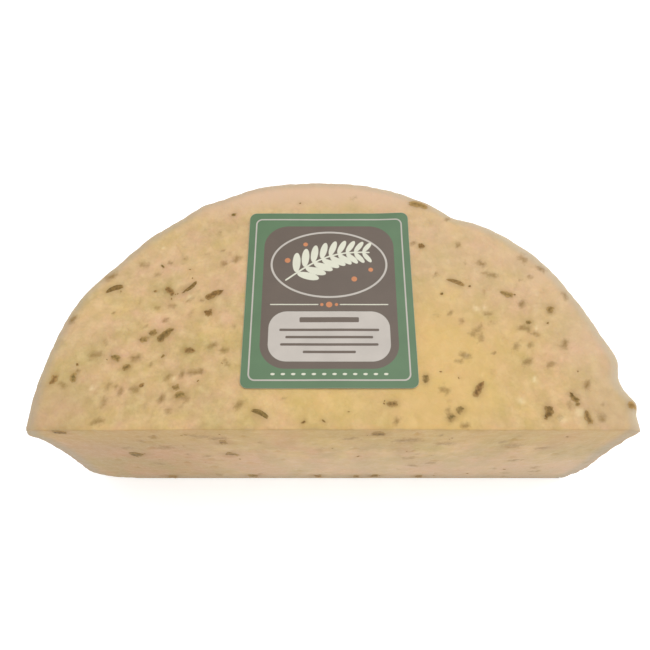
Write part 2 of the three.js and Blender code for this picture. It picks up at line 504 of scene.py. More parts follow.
@dataclass
class HerbPlan:
    """Chooses where every bit of herb lies.

    A row of a table is a bit's place across and along, its length, its width, its turn and its veil.
    """

    form: WheelForm
    seed: int = 4127
    clearance: float = 8.0
    edge_margin: float = 8.0
    length_range: tuple[float, float] = (2.6, 5.6)
    width_range: tuple[float, float] = (1.6, 2.6)
    stalk_ratio: float = 3.05
    strewn_margin: float = 2.5
    strewn_width_share: tuple[float, float] = (0.4, 0.85)
    crumb_seed: int = 31
    crumbling_length: float = 3.4
    crumb_counts: tuple[int, ...] = (0, 0, 1, 2)
    crumb_swing: float = 35.0
    crumb_reach_share: tuple[float, float] = (0.5, 0.75)
    crumb_gap: float = 0.3
    crumb_length: tuple[float, float] = (0.7, 1.5)
    crumb_width_share: tuple[float, float] = (0.5, 0.9)
    crumb_veil: tuple[float, float] = (0.1, 0.34)

    FACES = {
        Face.TOP: FaceHerbs(fullness=1.08, listed_share=0.92, drawn=12, drawn_share=0.7, drawn_veil=0.85),
        Face.CUT: FaceHerbs(fullness=2.4, listed_share=1.0, drawn=16, drawn_share=0.8, drawn_veil=0.7),
        Face.RIM: FaceHerbs(fullness=1.25, listed_share=1.0, drawn=34, drawn_share=1.0, drawn_veil=0.1),
    }
    STREWINGS = (
        Strewing(HerbKind.LEAF, ((Face.RIM, 60),), (2.4, 6.0), (0.0, 0.55), 41),
        Strewing(
            HerbKind.SPECK, ((Face.TOP, 44), (Face.CUT, 20), (Face.RIM, 110)), (0.9, 2.6), (0.1, 0.45), 11
        ),
        Strewing(
            HerbKind.LEAF, ((Face.TOP, 12), (Face.CUT, 8), (Face.RIM, 60)), (1.8, 4.5), (0.65, 0.9), 23
        ),
    )

    TOP_HERBS = (
        (-90, 60, 8, 2.6, 25, 0),
        (-67, 59, 5.5, 2.6, -45, 0.12),
        (-59, 61, 8.5, 2.2, 42, 0.1),
        (-48, 57, 8, 2.8, 28, 0),
        (-50, 49, 3.6, 3, 0, 0.05),
        (-66, 39, 8.5, 3, 42, 0.05),
        (-75, 37, 3, 2.6, 0, 0.25),
        (-85, 29, 4, 2.4, -25, 0.18),
        (-80, 25, 3.6, 2.4, 30, 0.18),
        (-100, 21, 4.2, 2.4, 90, 0.2),
        (-56, 32, 4.4, 2.6, 0, 0.15),
        (-60, 17, 3.2, 2.4, 10, 0.28),
        (-76, 16, 3.4, 2.2, -10, 0.3),
        (-27, 6, 7.5, 2.4, -25, 0.08),
        (23, 10, 4.4, 2.4, 0, 0.2),
        (52, 63, 8.5, 2.4, -20, 0.25),
        (73, 58, 5.6, 2.2, -20, 0.27),
        (68, 67, 4, 2, 5, 0.38),
        (78, 42, 5.4, 2.6, -5, 0.4),
        (53, 30, 4, 2.4, -10, 0.38),
        (57, 16, 7.5, 2.8, 58, 0.12),
        (82, 7, 5.2, 3.2, 75, 0),
        (93, 13, 5.2, 2.2, -55, 0.08),
        (97, 5, 5.5, 2.2, -80, 0.2),
    )
    CUT_HERBS = (
        (-83, 49, 5, 3, 15, 0),
        (-43, 69, 3.4, 2.6, 0, 0.25),
        (-43, 51, 4, 3, 30, 0.2),
        (18, 82, 5.4, 2.6, 0, 0.2),
        (30, 73, 9, 3, 12, 0.66),
        (-103, 84.5, 4.6, 1.6, -8, 0.05),
    )
    VEILED_TOP_HERBS = (
        (-79, 72, 4, 2.8, 0, 0.65),
        (-73, 67, 2.6, 2, 30, 0.75),
        (-62, 75, 2.6, 2, 0, 0.8),
        (-40, 74, 3.2, 2.4, 70, 0.3),
        (-45, 72, 2.2, 2, 0, 0.35),
        (-65, 52, 4, 1.6, 0, 0.7),
        (-58, 55, 3.5, 1.2, 40, 0.7),
        (-71.5, 40, 3.2, 2.6, 20, 0.15),
        (-47, 34, 3.6, 2.8, 20, 0.35),
        (-42, 32, 2.4, 2, 0, 0.4),
        (-41, 27, 5, 1.6, -55, 0.65),
        (-93, 30.5, 4.4, 3.4, 10, 0.6),
        (-77, 29, 3.6, 3, 20, 0.35),
        (-108, 20, 4.6, 2.6, 70, 0.2),
        (-104, 18, 3, 2.2, -30, 0.65),
        (-53, 23, 8, 2.6, 5, 0.4),
        (-58, 22, 2.4, 2.2, 80, 0.4),
        (-63.5, 21, 2.4, 2, 60, 0.65),
        (-58, 13.5, 4.2, 2.8, 10, 0.2),
        (-65, 12.5, 3, 2.6, 60, 0.35),
        (-81, 15.5, 3.4, 2, 80, 0.6),
        (-86, 17.5, 2.6, 2, 70, 0.7),
        (-35, 9.5, 3.6, 2.6, 30, 0.3),
        (-62, 7.5, 2.4, 2, 0, 0.7),
        (-88, 3.5, 4.8, 2.6, 5, 0.55),
        (-87, 11, 4.2, 2.4, 75, 0.7),
        (39, 102, 9, 3.2, -15, 0.27),
        (39, 80.5, 2.8, 2.6, 0, 0.1),
        (35.5, 82, 2, 1.6, 60, 0.35),
        (64, 72.5, 2.8, 2.6, -30, 0.3),
        (78.5, 53, 2.8, 2.4, 40, 0.4),
        (90, 50.5, 3.2, 2.8, 60, 0.25),
        (64, 48.5, 4.2, 1.6, 0, 0.65),
        (82, 75, 3.2, 2.6, -40, 0.35),
        (97, 57, 3, 2, -60, 0.6),
        (82, 39.5, 2.6, 1.8, -40, 0.6),
        (60, 38, 4, 2.2, 80, 0.65),
        (93, 35, 3.4, 2.8, 60, 0.4),
        (73.5, 34, 2.6, 2, 45, 0.6),
        (79, 34.5, 2.4, 2, 60, 0.65),
        (77, 27.5, 3.8, 2.8, 20, 0.5),
        (86, 26.5, 3, 2.6, 40, 0.6),
        (50, 27.5, 2.4, 2, 0, 0.7),
        (99, 18, 3.6, 3, 60, 0.4),
        (36.5, 20, 3.4, 2.6, 80, 0.2),
        (43.5, 15.5, 4, 2.6, -15, 0.6),
        (49, 7.5, 3.4, 2.6, 30, 0.2),
        (45.5, 4.5, 3.4, 2.6, 30, 0.25),
        (50, 1.6, 3, 2, 10, 0.35),
        (102, 4.5, 2.8, 2.4, 70, 0.55),
        (114.6, 9.5, 3.6, 3, 0, 0.29),
        (-92, 66, 4.6, 2.6, 30, 0.34),
        (-105, 46, 3.8, 2.6, 60, 0.34),
        (89, 70, 3, 2.2, -40, 0.5),
    )
    VEILED_CUT_HERBS = (
        (-68, 62, 4.4, 3, 0, 0.72),
        (-51, 79, 6, 2.6, -5, 0.75),
        (-44, 76, 5, 2.4, 10, 0.6),
        (46, 68, 5, 3.4, 0, 0.72),
        (74, 65, 5.4, 3.4, 0, 0.72),
        (-78, 4.5, 4, 2.2, 0, 0.22),
        (-38, 5.5, 4.4, 2.4, 0, 0.2),
        (-6, 5.5, 3.6, 2.4, 0, 0.2),
        (13, 4.5, 3, 2.2, 0, 0.22),
        (22, 5.5, 3.6, 2.4, 0, 0.2),
        (44, 5, 3.4, 2.4, 0, 0.2),
    )

    def room(self, face: Face) -> tuple[tuple[float, float], tuple[float, float]]:
        """Gives the room on a face.

        Args:
            face: The face.

        Returns:
            The ranges of across and along.
        """
        radius, height = self.form.radius, self.form.height
        if face is Face.TOP:
            return (-radius, radius), (0, radius)
        if face is Face.CUT:
            return (-radius, radius), (0, height)
        return (0, 180), (0, height)

    def fits(self, face: Face, across: float, along: float, margin: float) -> bool:
        """Says whether a bit of herb may lie at a place.

        Args:
            face: The face.
            across: The place across it.
            along: The place along it.
            margin: How far it keeps from the face's edges.

        Returns:
            True if it lies on the face, clear of its edges and of the label.
        """
        form = self.form
        if face is Face.TOP:
            inside = math.hypot(across, along) < form.radius - margin - form.top_rounding
            clear = float(form.distance_to_patch(np.float64(across), np.float64(along))) > margin / 2
            return inside and clear and along > margin
        if face is Face.CUT:
            inside = abs(across) < form.radius - form.base_rounding_left
            return inside and margin < along < form.height - margin
        inside = form.base_rounding_left + margin / 2 < along < form.height - form.top_rounding - margin / 2
        return inside and min(across, 180 - across) > margin / 2

    def free_place(self, draw: random.Random, face: Face, margin: float) -> tuple[float, float]:
        """Draws places on a face until one is clear of its edges and of the label.

        Args:
            draw: Where they come from.
            face: The face.
            margin: How far it keeps from the face's edges.

        Returns:
            The place across and along.
        """
        while True:
            across, along = (draw.uniform(*limits) for limits in self.room(face))
            if self.fits(face, across, along, margin):
                return across, along

    def solid_herbs(self) -> list[Herb]:
        """Repeats the flakes that the solid has, listed and drawn.

        Returns:
            The flakes as they show.
        """
        draws = seeded_draws(self.seed)

        def between(limits: tuple[float, float]) -> float:
            """Draws a number between two limits."""
            return limits[0] + (limits[1] - limits[0]) * next(draws)

        herbs: list[Herb] = []
        listed = {Face.TOP: self.TOP_HERBS, Face.CUT: self.CUT_HERBS, Face.RIM: ()}
        for face, plan in self.FACES.items():
            across_room, along_room = self.room(face)
            rows = list(listed[face])
            spots = [self.form.spot(face, row[0], row[1])[0] for row in rows]
            while len(rows) < len(listed[face]) + plan.drawn:
                across = between(across_room)
                along = between(along_room)
                here = self.form.spot(face, across, along)[0]
                crowded = any((spot - here).length < self.clearance for spot in spots)
                if crowded or not self.fits(face, across, along, self.edge_margin):
                    continue
                length = between(self.length_range)
                width = between(self.width_range)
                rows.append((across, along, length, width, between((0, 180)), plan.drawn_veil))
                spots.append(here)
            for number, row in enumerate(rows):
                is_listed = number < len(listed[face])
                herbs.append(self.shown(face, row, plan.listed_share if is_listed else plan.drawn_share))
        return herbs

    def shown(self, face: Face, row: Sequence[float], share: float) -> Herb:
        """Gives one of the solid's flakes as it shows, smaller where paste closes over its ends.

        Args:
            face: Its face.
            row: Its place, its size, its turn and its veil.
            share: How much of its size shows.

        Returns:
            The bit of herb.
        """
        across, along, length, width, turn, veil = row
        kind = HerbKind.STALK if length > self.stalk_ratio * width else HerbKind.LEAF
        shown_width = width * share * self.FACES[face].fullness
        return Herb(face, across, along, length * share, shown_width, turn, veil, kind)

    def crumbs(self, herbs: Sequence[Herb]) -> list[Herb]:
        """Strews a few crumbs round each larger flake, where it broke in the vat.

        Args:
            herbs: The flakes.

        Returns:
            The crumbs.
        """
        draw = random.Random(self.crumb_seed)
        strewn: list[Herb] = []
        for herb in herbs:
            if herb.face is Face.RIM or herb.length < self.crumbling_length or not herb.lies_open:
                continue
            for _ in range(draw.choice(self.crumb_counts)):
                end = herb.turn + draw.choice((0, 180))
                way = math.radians(end + draw.uniform(-self.crumb_swing, self.crumb_swing))
                reach = herb.length * draw.uniform(*self.crumb_reach_share) + self.crumb_gap
                length = draw.uniform(*self.crumb_length)
                across = herb.across + reach * math.cos(way)
                along = max(herb.along + reach * math.sin(way), length)
                width = length * draw.uniform(*self.crumb_width_share)
                turn = draw.uniform(0, 180)
                veil = draw.uniform(*self.crumb_veil)
                strewn.append(Herb(herb.face, across, along, length, width, turn, veil, HerbKind.SPECK))
        return strewn

    def strewn(self, strewing: Strewing) -> list[Herb]:
        """Draws small bits of herb over the faces.

        Args:
            strewing: What they are, how many and how large.

        Returns:
            The bits.
        """
        draw = random.Random(strewing.seed)
        shortest, longest = strewing.lengths
        herbs: list[Herb] = []
        for face, count in strewing.counts:
            for _ in range(count):
                across, along = self.free_place(draw, face, self.strewn_margin)
                length = shortest + (longest - shortest) * draw.random() ** 2
                width = length * draw.uniform(*self.strewn_width_share)
                turn = draw.uniform(0, 180)
                veil = draw.uniform(*strewing.veils)
                herbs.append(Herb(face, across, along, length, width, turn, veil, strewing.kind))
        return herbs

    def all_herbs(self) -> list[Herb]:
        """Gives every bit of herb, the solid's own first.

        Returns:
            The bits.
        """
        herbs = self.solid_herbs()
        for face, rows in ((Face.TOP, self.VEILED_TOP_HERBS), (Face.CUT, self.VEILED_CUT_HERBS)):
            herbs += [self.shown(face, row, self.FACES[face].listed_share) for row in rows]
        herbs += self.crumbs(herbs)
        for strewing in self.STREWINGS:
            herbs += self.strewn(strewing)
        return herbs


class Coat:
    """A finish in the making: its material, and its colour so far."""

    def __init__(self, name: str, colour: str) -> None:
        """Starts the material.

        Args:
            name: Its name.
            colour: Its ground colour.
        """
        self.material = bpy.data.materials.new(name)
        self.material.use_nodes = True
        self.tree = self.material.node_tree
        self.tree.nodes.clear()
        self.colour: object = linear_colour(colour)

    @cached_property
    def place(self) -> Link:
        """The coordinates of its patterns, at first the object's own."""
        return add_node(self.tree, "TexCoord").outputs["Object"]

    def lay(self, tone: str, pattern: Link | str, cover: Ramp, within: str | None = None) -> None:
        """Lays a tone over the colour so far.

        Args:
            tone: The tone.
            pattern: The pattern that it follows, or the name of an attribute of the mesh.
            cover: How much of the tone shows at the pattern's values.
            within: The attribute that says where it may show, or None for everywhere.
        """
        if isinstance(pattern, str):
            pattern = add_node(self.tree, "Attribute", attribute_name=pattern).outputs["Fac"]
        share = add_node(self.tree, "MapRange", cover.of(pattern), interpolation_type=cover.curve)
        if within:
            place = add_node(self.tree, "Attribute", attribute_name=within).outputs["Fac"]
            share = add_node(self.tree, "Math", {0: share, 1: place}, operation="MULTIPLY", use_clamp=True)
        layers = {MIX_SHARE: share, MIX_UNDER: self.colour, MIX_OVER: linear_colour(tone)}
        self.colour = add_node(self.tree, "Mix", layers, data_type="RGBA").outputs[MIX_RESULT]

    def shade(self, pattern: Link, shades: Ramp) -> None:
        """Makes the colour so far darker and lighter.

        Args:
            pattern: The pattern that this follows.
            shades: What the pattern's values multiply the colour by.
        """
        shade = add_node(self.tree, "MapRange", shades.of(pattern))
        layers = {MIX_SHARE: 1.0, MIX_UNDER: self.colour, MIX_OVER: shade}
        mix = add_node(self.tree, "Mix", layers, data_type="RGBA", blend_type="MULTIPLY")
        self.colour = mix.outputs[MIX_RESULT]

    def finished(self, surface: dict[str, object]) -> bpy.types.Material:
        """Gives the material its surface.

        Args:
            surface: The surface's inputs by name, apart from its colour.

        Returns:
            The material.
        """
        shader = add_node(self.tree, "BsdfPrincipled", {"Base Color": self.colour, **surface})
        add_node(self.tree, "OutputMaterial", {"Surface": shader})
        return self.material


@dataclass(frozen=True)
class Tone:
    """A tone that shows by its share where an attribute of the mesh is 1."""

    colour: str
    share: float
    attribute: str

    def lay_on(self, coat: Coat) -> None:
        """Lays the tone over a finish's colour."""
        coat.lay(self.colour, self.attribute, Ramp(0.0, 1.0 / self.share))


@dataclass(frozen=True)
class Blotches:
    """Soft patches of one tone, by their size in millimetres and by how much of the tone shows.

    Shift moves their pattern, so that no two tones lie alike, and squeeze draws it together.
    """

    colour: str
    share: float
    size: float
    shift: tuple[float, float, float] = (0.0, 0.0, 0.0)
    squeeze: tuple[float, float, float] = (1.0, 1.0, 1.0)
    roughness: float = 0.55
    spread: tuple[float, float] = (0.45, 0.66)
    within: str | None = None

    def lay_on(self, coat: Coat) -> None:
        """Lays the patches over a finish's colour.

        Args:
            coat: The finish in the making.
        """
        moves = {"Vector": coat.place, "Location": self.shift, "Scale": self.squeeze}
        moved = add_node(coat.tree, "Mapping", moves)
        lumps = add_node(coat.tree, "TexNoise", Grain(self.size, 3.0, self.roughness).of(moved))
        coat.lay(self.colour, lumps, Ramp(*self.spread, 0.0, self.share), self.within)


@dataclass(frozen=True)
class CheddarPaste:
    """Pressed cheddar paste: dense, waxy and a little translucent.

    To the eye it is a matt butter yellow that shifts softly between yellow, beige and a pinkish
    tone, with faint joins between the curd grains and a dull sheen where it was pressed smooth.
    The cut face is a little paler and greyer, and has the fine level marks of the cutting wire.
    The marks and the paste's own grain are finer in life, and are this coarse so that they show.
    """

    butter: str = "ccae70"
    beige: str = "bf9f72"
    pinkish: str = "d0a686"
    olive: str = "af9a5d"
    cream: str = "dcc391"
    herb_brown: str = "856733"
    seam_tone: str = "a9885b"
    mottle: tuple[Blotches, ...] = (
        Blotches(beige, 0.9, 19.0),
        Blotches(pinkish, 0.8, 28.5, (3.1, 1.55, 0.0)),
        Blotches(olive, 0.75, 22.8, (7.7, 3.85, 0.0)),
        Blotches(pinkish, 0.6, 14.25, (12.3, 6.15, 0.0)),
        Blotches(olive, 0.5, 11.4, (15.1, 7.55, 0.0)),
        Blotches(pinkish, 0.25, 7.6, (5.2, 2.6, 0.0)),
        Blotches(olive, 0.3, 5.7, (1.9, 0.95, 0.0)),
        Blotches(cream, 0.35, 4.94, (9.4, 4.7, 0.0)),
    )
    tones: tuple[Tone | Blotches, ...] = (
        Tone("d5b16a", 0.6, "rich_middle"),
        Tone("cfb092", 0.6, "dry_border"),
        Tone("9c8458", 0.35, "worn_corner"),
        # The cut face's duller tone, with painted shade that darkens its left end most and its right end a
        # little
        Tone("a5835b", 0.47, "cut_dull_and_shade"),
        Blotches("ba8d6a", 0.55, 16.0, (2.6, 0.0, 2.6), (1.0, 1.0, 0.8), 0.5, (0.46, 0.66), "cut_face"),
        Blotches("a18c57", 0.55, 13.0, (8.4, 0.0, 8.4), (1.0, 1.0, 0.8), 0.5, (0.46, 0.66), "cut_face"),
        # Painted shade that darkens the upper part of the cut face
        Tone("b2914f", 0.5, "painted_cut_top_shade"),
        # Painted light that makes the lower part of the cut face paler, from just left of its middle to the
        # right
        Tone("cdb297", 0.38, "painted_cut_low_light"),
        # A darker grey band along the cut face's edges next to the rim
        Tone("9a8b73", 0.65, "cut_outer_band"),
        Tone("a5906f", 0.55, "rim_face"),
        Tone("ac9c83", 0.7, "rim_line"),
        Tone("c4b59c", 0.4, "rim_pale"),
        Tone("e6d3a6", 0.45, "pale_curd"),
        # Darker base: partly a drier, darker crust and partly painted contact shade
        Tone("a09072", 0.45, "foot"),
        Tone("8f6d38", 0.45, "herb_stain"),
        Tone(herb_brown, 0.15, "veiled_herb"),
    )
    grain: Grain = Grain(1.3, 3.0, 0.6)
    grain_shade: Ramp = Ramp(0.25, 0.75, 0.93, 1.06)
    grain_sheen: Ramp = Ramp(0.3, 0.7, 0.46, 0.62)
    grain_relief: Relief = Relief(0.22, 0.8)
    curd_size: float = 7.5
    curd_stir: Grain = Grain(6.0)
    curd_stir_reach: float = 6.0
    seam_width: Ramp = Ramp(0.0, 0.12, 0.12, 0.0)
    seam_relief: Relief = Relief(0.6)
    wire_marks: Grain = Grain(1.1)
    wire_draw: float = 0.04
    wire_relief: Relief = Relief(0.12)
    veil: Grain = Grain(1.3, 4.0, 0.7)
    veil_unevenness: float = 1.3
    veil_start: float = 0.16
    veil_softness: float = 1.1
    cut_draw: float = 0.35
    cut_edge_height: float = 88.0
    light_reach: float = 4.0

    def make(self) -> bpy.types.Material:
        """Builds the material.

        Returns:
            The material.
        """
        coat = Coat("pressed_cheddar_paste", self.butter)
        self.draw_out(coat)
        grain = add_node(coat.tree, "TexNoise", self.grain.of(coat.place))
        seams = self.curd_seams(coat)
        for blotches in self.mottle:
            blotches.lay_on(coat)
        coat.lay(self.seam_tone, seams, Ramp(0.0, 1.0))
        coat.shade(grain, self.grain_shade)
        for tone in self.tones:
            tone.lay_on(coat)
        self.lay_veiled_herbs(coat)
        return coat.finished(
            {
                "Roughness": add_node(coat.tree, "MapRange", self.grain_sheen.of(grain)),
                "IOR": 1.45,
                "Specular IOR Level": 0.35,
                "Subsurface Weight": 0.25,
                "Subsurface Radius": (1.0, 0.62, 0.3),
                "Subsurface Scale": self.light_reach * MM,
                "Normal": self.fine_relief(coat, grain, seams),
            }
        )

    def draw_out(self, coat: Coat) -> None:
        """Draws the patterns out up and down the cut face, as the wire and the mould's walls did.

        The coordinates are then measured from the cut's upper edge, closer together up the cut.

        Args:
            coat: The finish in the making.
        """
        tree = coat.tree
        on_cut = add_node(tree, "Attribute", attribute_name="cut_face").outputs["Fac"]
        upwards = add_node(tree, "Math", {0: on_cut, 1: -self.cut_draw, 2: 1.0}, operation="MULTIPLY_ADD")
        scale = add_node(tree, "CombineXYZ", {"X": 1.0, "Y": 1.0, "Z": upwards})
        edge = (0.0, 0.0, self.cut_edge_height * MM)
        below = add_node(tree, "VectorMath", {0: coat.place, 1: edge}, operation="SUBTRACT")
        coat.place = add_node(tree, "VectorMath", {0: below, 1: scale}, operation="MULTIPLY")

    def curd_seams(self, coat: Coat) -> bpy.types.Node:
        """Draws the faint joins between the pressed curd grains.

        Args:
            coat: The finish in the making.

        Returns:
            How strongly a join shows.
        """
        tree = coat.tree
        stir = add_node(tree, "TexNoise", self.curd_stir.of(coat.place)).outputs["Color"]
        swing = add_node(tree, "VectorMath", {0: stir, 1: (0.5, 0.5, 0.5)}, operation="SUBTRACT")
        reach = {0: swing, "Scale": self.curd_stir_reach * MM}
        push = add_node(tree, "VectorMath", reach, operation="SCALE")
        stirred = add_node(tree, "VectorMath", {0: coat.place, 1: push}, operation="ADD")
        grains = {"Vector": stirred, "Scale": per_metre(self.curd_size)}
        to_seam = add_node(tree, "TexVoronoi", grains, feature="DISTANCE_TO_EDGE")
        return add_node(tree, "MapRange", self.seam_width.of(to_seam))

    def lay_veiled_herbs(self, coat: Coat) -> None:
        """Lets the bits of herb just under the surface show through, broken up by curd over them.

        Args:
            coat: The finish in the making.
        """
        marked = add_node(coat.tree, "Attribute", attribute_name="veiled_herb").outputs["Fac"]
        curd = add_node(coat.tree, "TexNoise", self.veil.of(coat.place))
        broken = {0: curd, 1: self.veil_unevenness, 2: marked}
        uneven = add_node(coat.tree, "Math", broken, operation="MULTIPLY_ADD")
        start = 0.5 * self.veil_unevenness + self.veil_start
        coat.lay(self.herb_brown, uneven, Ramp(start, start + self.veil_softness))

    def fine_relief(self, coat: Coat, grain: Link, seams: Link) -> bpy.types.Node:
        """Adds the relief that is finer than the mesh: grain, curd joins and wire marks.

        Args:
            coat: The finish in the making.
            grain: The grain's height.
            seams: How strongly a curd join shows.

        Returns:
            The surface's direction.
        """
        tree = coat.tree
        normal = add_node(tree, "Bump", self.grain_relief.of(grain))
        normal = add_node(tree, "Bump", {**self.seam_relief.of(seams), "Normal": normal}, invert=True)
        level = {"Vector": coat.place, "Scale": (self.wire_draw, 1.0, 1.0)}
        drawn_along = add_node(tree, "Mapping", level)
        marks = add_node(tree, "TexNoise", self.wire_marks.of(drawn_along))
        on_cut = add_node(tree, "Attribute", attribute_name="cut_face").outputs["Fac"]
        height = add_node(tree, "Math", {0: marks, 1: on_cut}, operation="MULTIPLY")
        return add_node(tree, "Bump", {**self.wire_relief.of(height), "Normal": normal})


@dataclass(frozen=True)
class ChoppedHerb:
    """Chopped herb leaf, soaked and pressed in cheese.

    To the eye it is nearly matt, a dark olive that ranges to brown, a little lighter where a film
    of paste covers it. Its veins are finer in life, and are this coarse so that they show.
    """

    green: str = "6f5b29"
    brown: str = "785526"
    film: str = "a88852"
    veins: Grain = Grain(1.0)
    vein_shade: Ramp = Ramp(0.3, 0.7, 0.7, 1.4)
    vein_relief: Relief = Relief(0.2)
    film_unevenness: float = 0.6
    film_softness: float = 0.9

    def make(self) -> bpy.types.Material:
        """Builds the material.

        Returns:
            The material.
        """
        coat = Coat("chopped_herb_leaf", self.green)
        coat.lay(self.brown, "tone", Ramp(0.0, 1.0))
        veins = add_node(coat.tree, "TexNoise", self.veins.of(coat.place))
        coat.shade(veins, self.vein_shade)
        film = add_node(coat.tree, "Attribute", attribute_name="film").outputs["Fac"]
        broken = {0: veins, 1: self.film_unevenness, 2: film}
        uneven = add_node(coat.tree, "Math", broken, operation="MULTIPLY_ADD")
        start = 0.5 * self.film_unevenness
        coat.lay(self.film, uneven, Ramp(start, start + self.film_softness, smooth=True))
        rough = add_node(coat.tree, "Bump", self.vein_relief.of(veins))
        return coat.finished({"Roughness": 0.7, "IOR": 1.4, "Normal": rough})


@dataclass(frozen=True)
class PrintedPaper:
    """Coated label paper, printed in five flat inks.

    To the eye it has a satin sheen, even fields of ink with a very slight unevenness, and the
    paper's own pale edge where it was cut. Each ink after the green follows an attribute of the
    mesh, which holds the distance in millimetres to its fields, below 0 inside them. The paper's
    fibres are far finer in life, and are this coarse so that they show.
    """

    green_ink: str = "4e6c49"
    other_inks: tuple[tuple[str, str], ...] = (
        ("print_pale_fields", "b4aca3"),
        ("print_dark_fields", "594b3f"),
        ("print_white_lines", "cecdba"),
        ("print_orange", "bd7748"),
    )
    bare_paper: str = "c4c3b4"
    ink_edge: Ramp = Ramp(-0.12, 0.12, 1.0, 0.0, smooth=True)
    fibres: Grain = Grain(0.5)
    fibre_relief: Relief = Relief(0.03, 0.5)
    clouds: Grain = Grain(9.0, 4.0)
    cloud_shade: Ramp = Ramp(0.3, 0.7, 0.95, 1.05)

    def make(self) -> bpy.types.Material:
        """Builds the material.

        Returns:
            The material.
        """
        coat = Coat("printed_label_paper", self.green_ink)
        for fields, ink in self.other_inks:
            coat.lay(ink, fields, self.ink_edge)
        coat.shade(add_node(coat.tree, "TexNoise", self.clouds.of(coat.place)), self.cloud_shade)
        coat.lay(self.bare_paper, "cut_edge", self.ink_edge)
        fibres = add_node(coat.tree, "TexNoise", self.fibres.of(coat.place))
        rough = add_node(coat.tree, "Bump", self.fibre_relief.of(fibres))
        return coat.finished({"Roughness": 0.42, "IOR": 1.5, "Normal": rough})


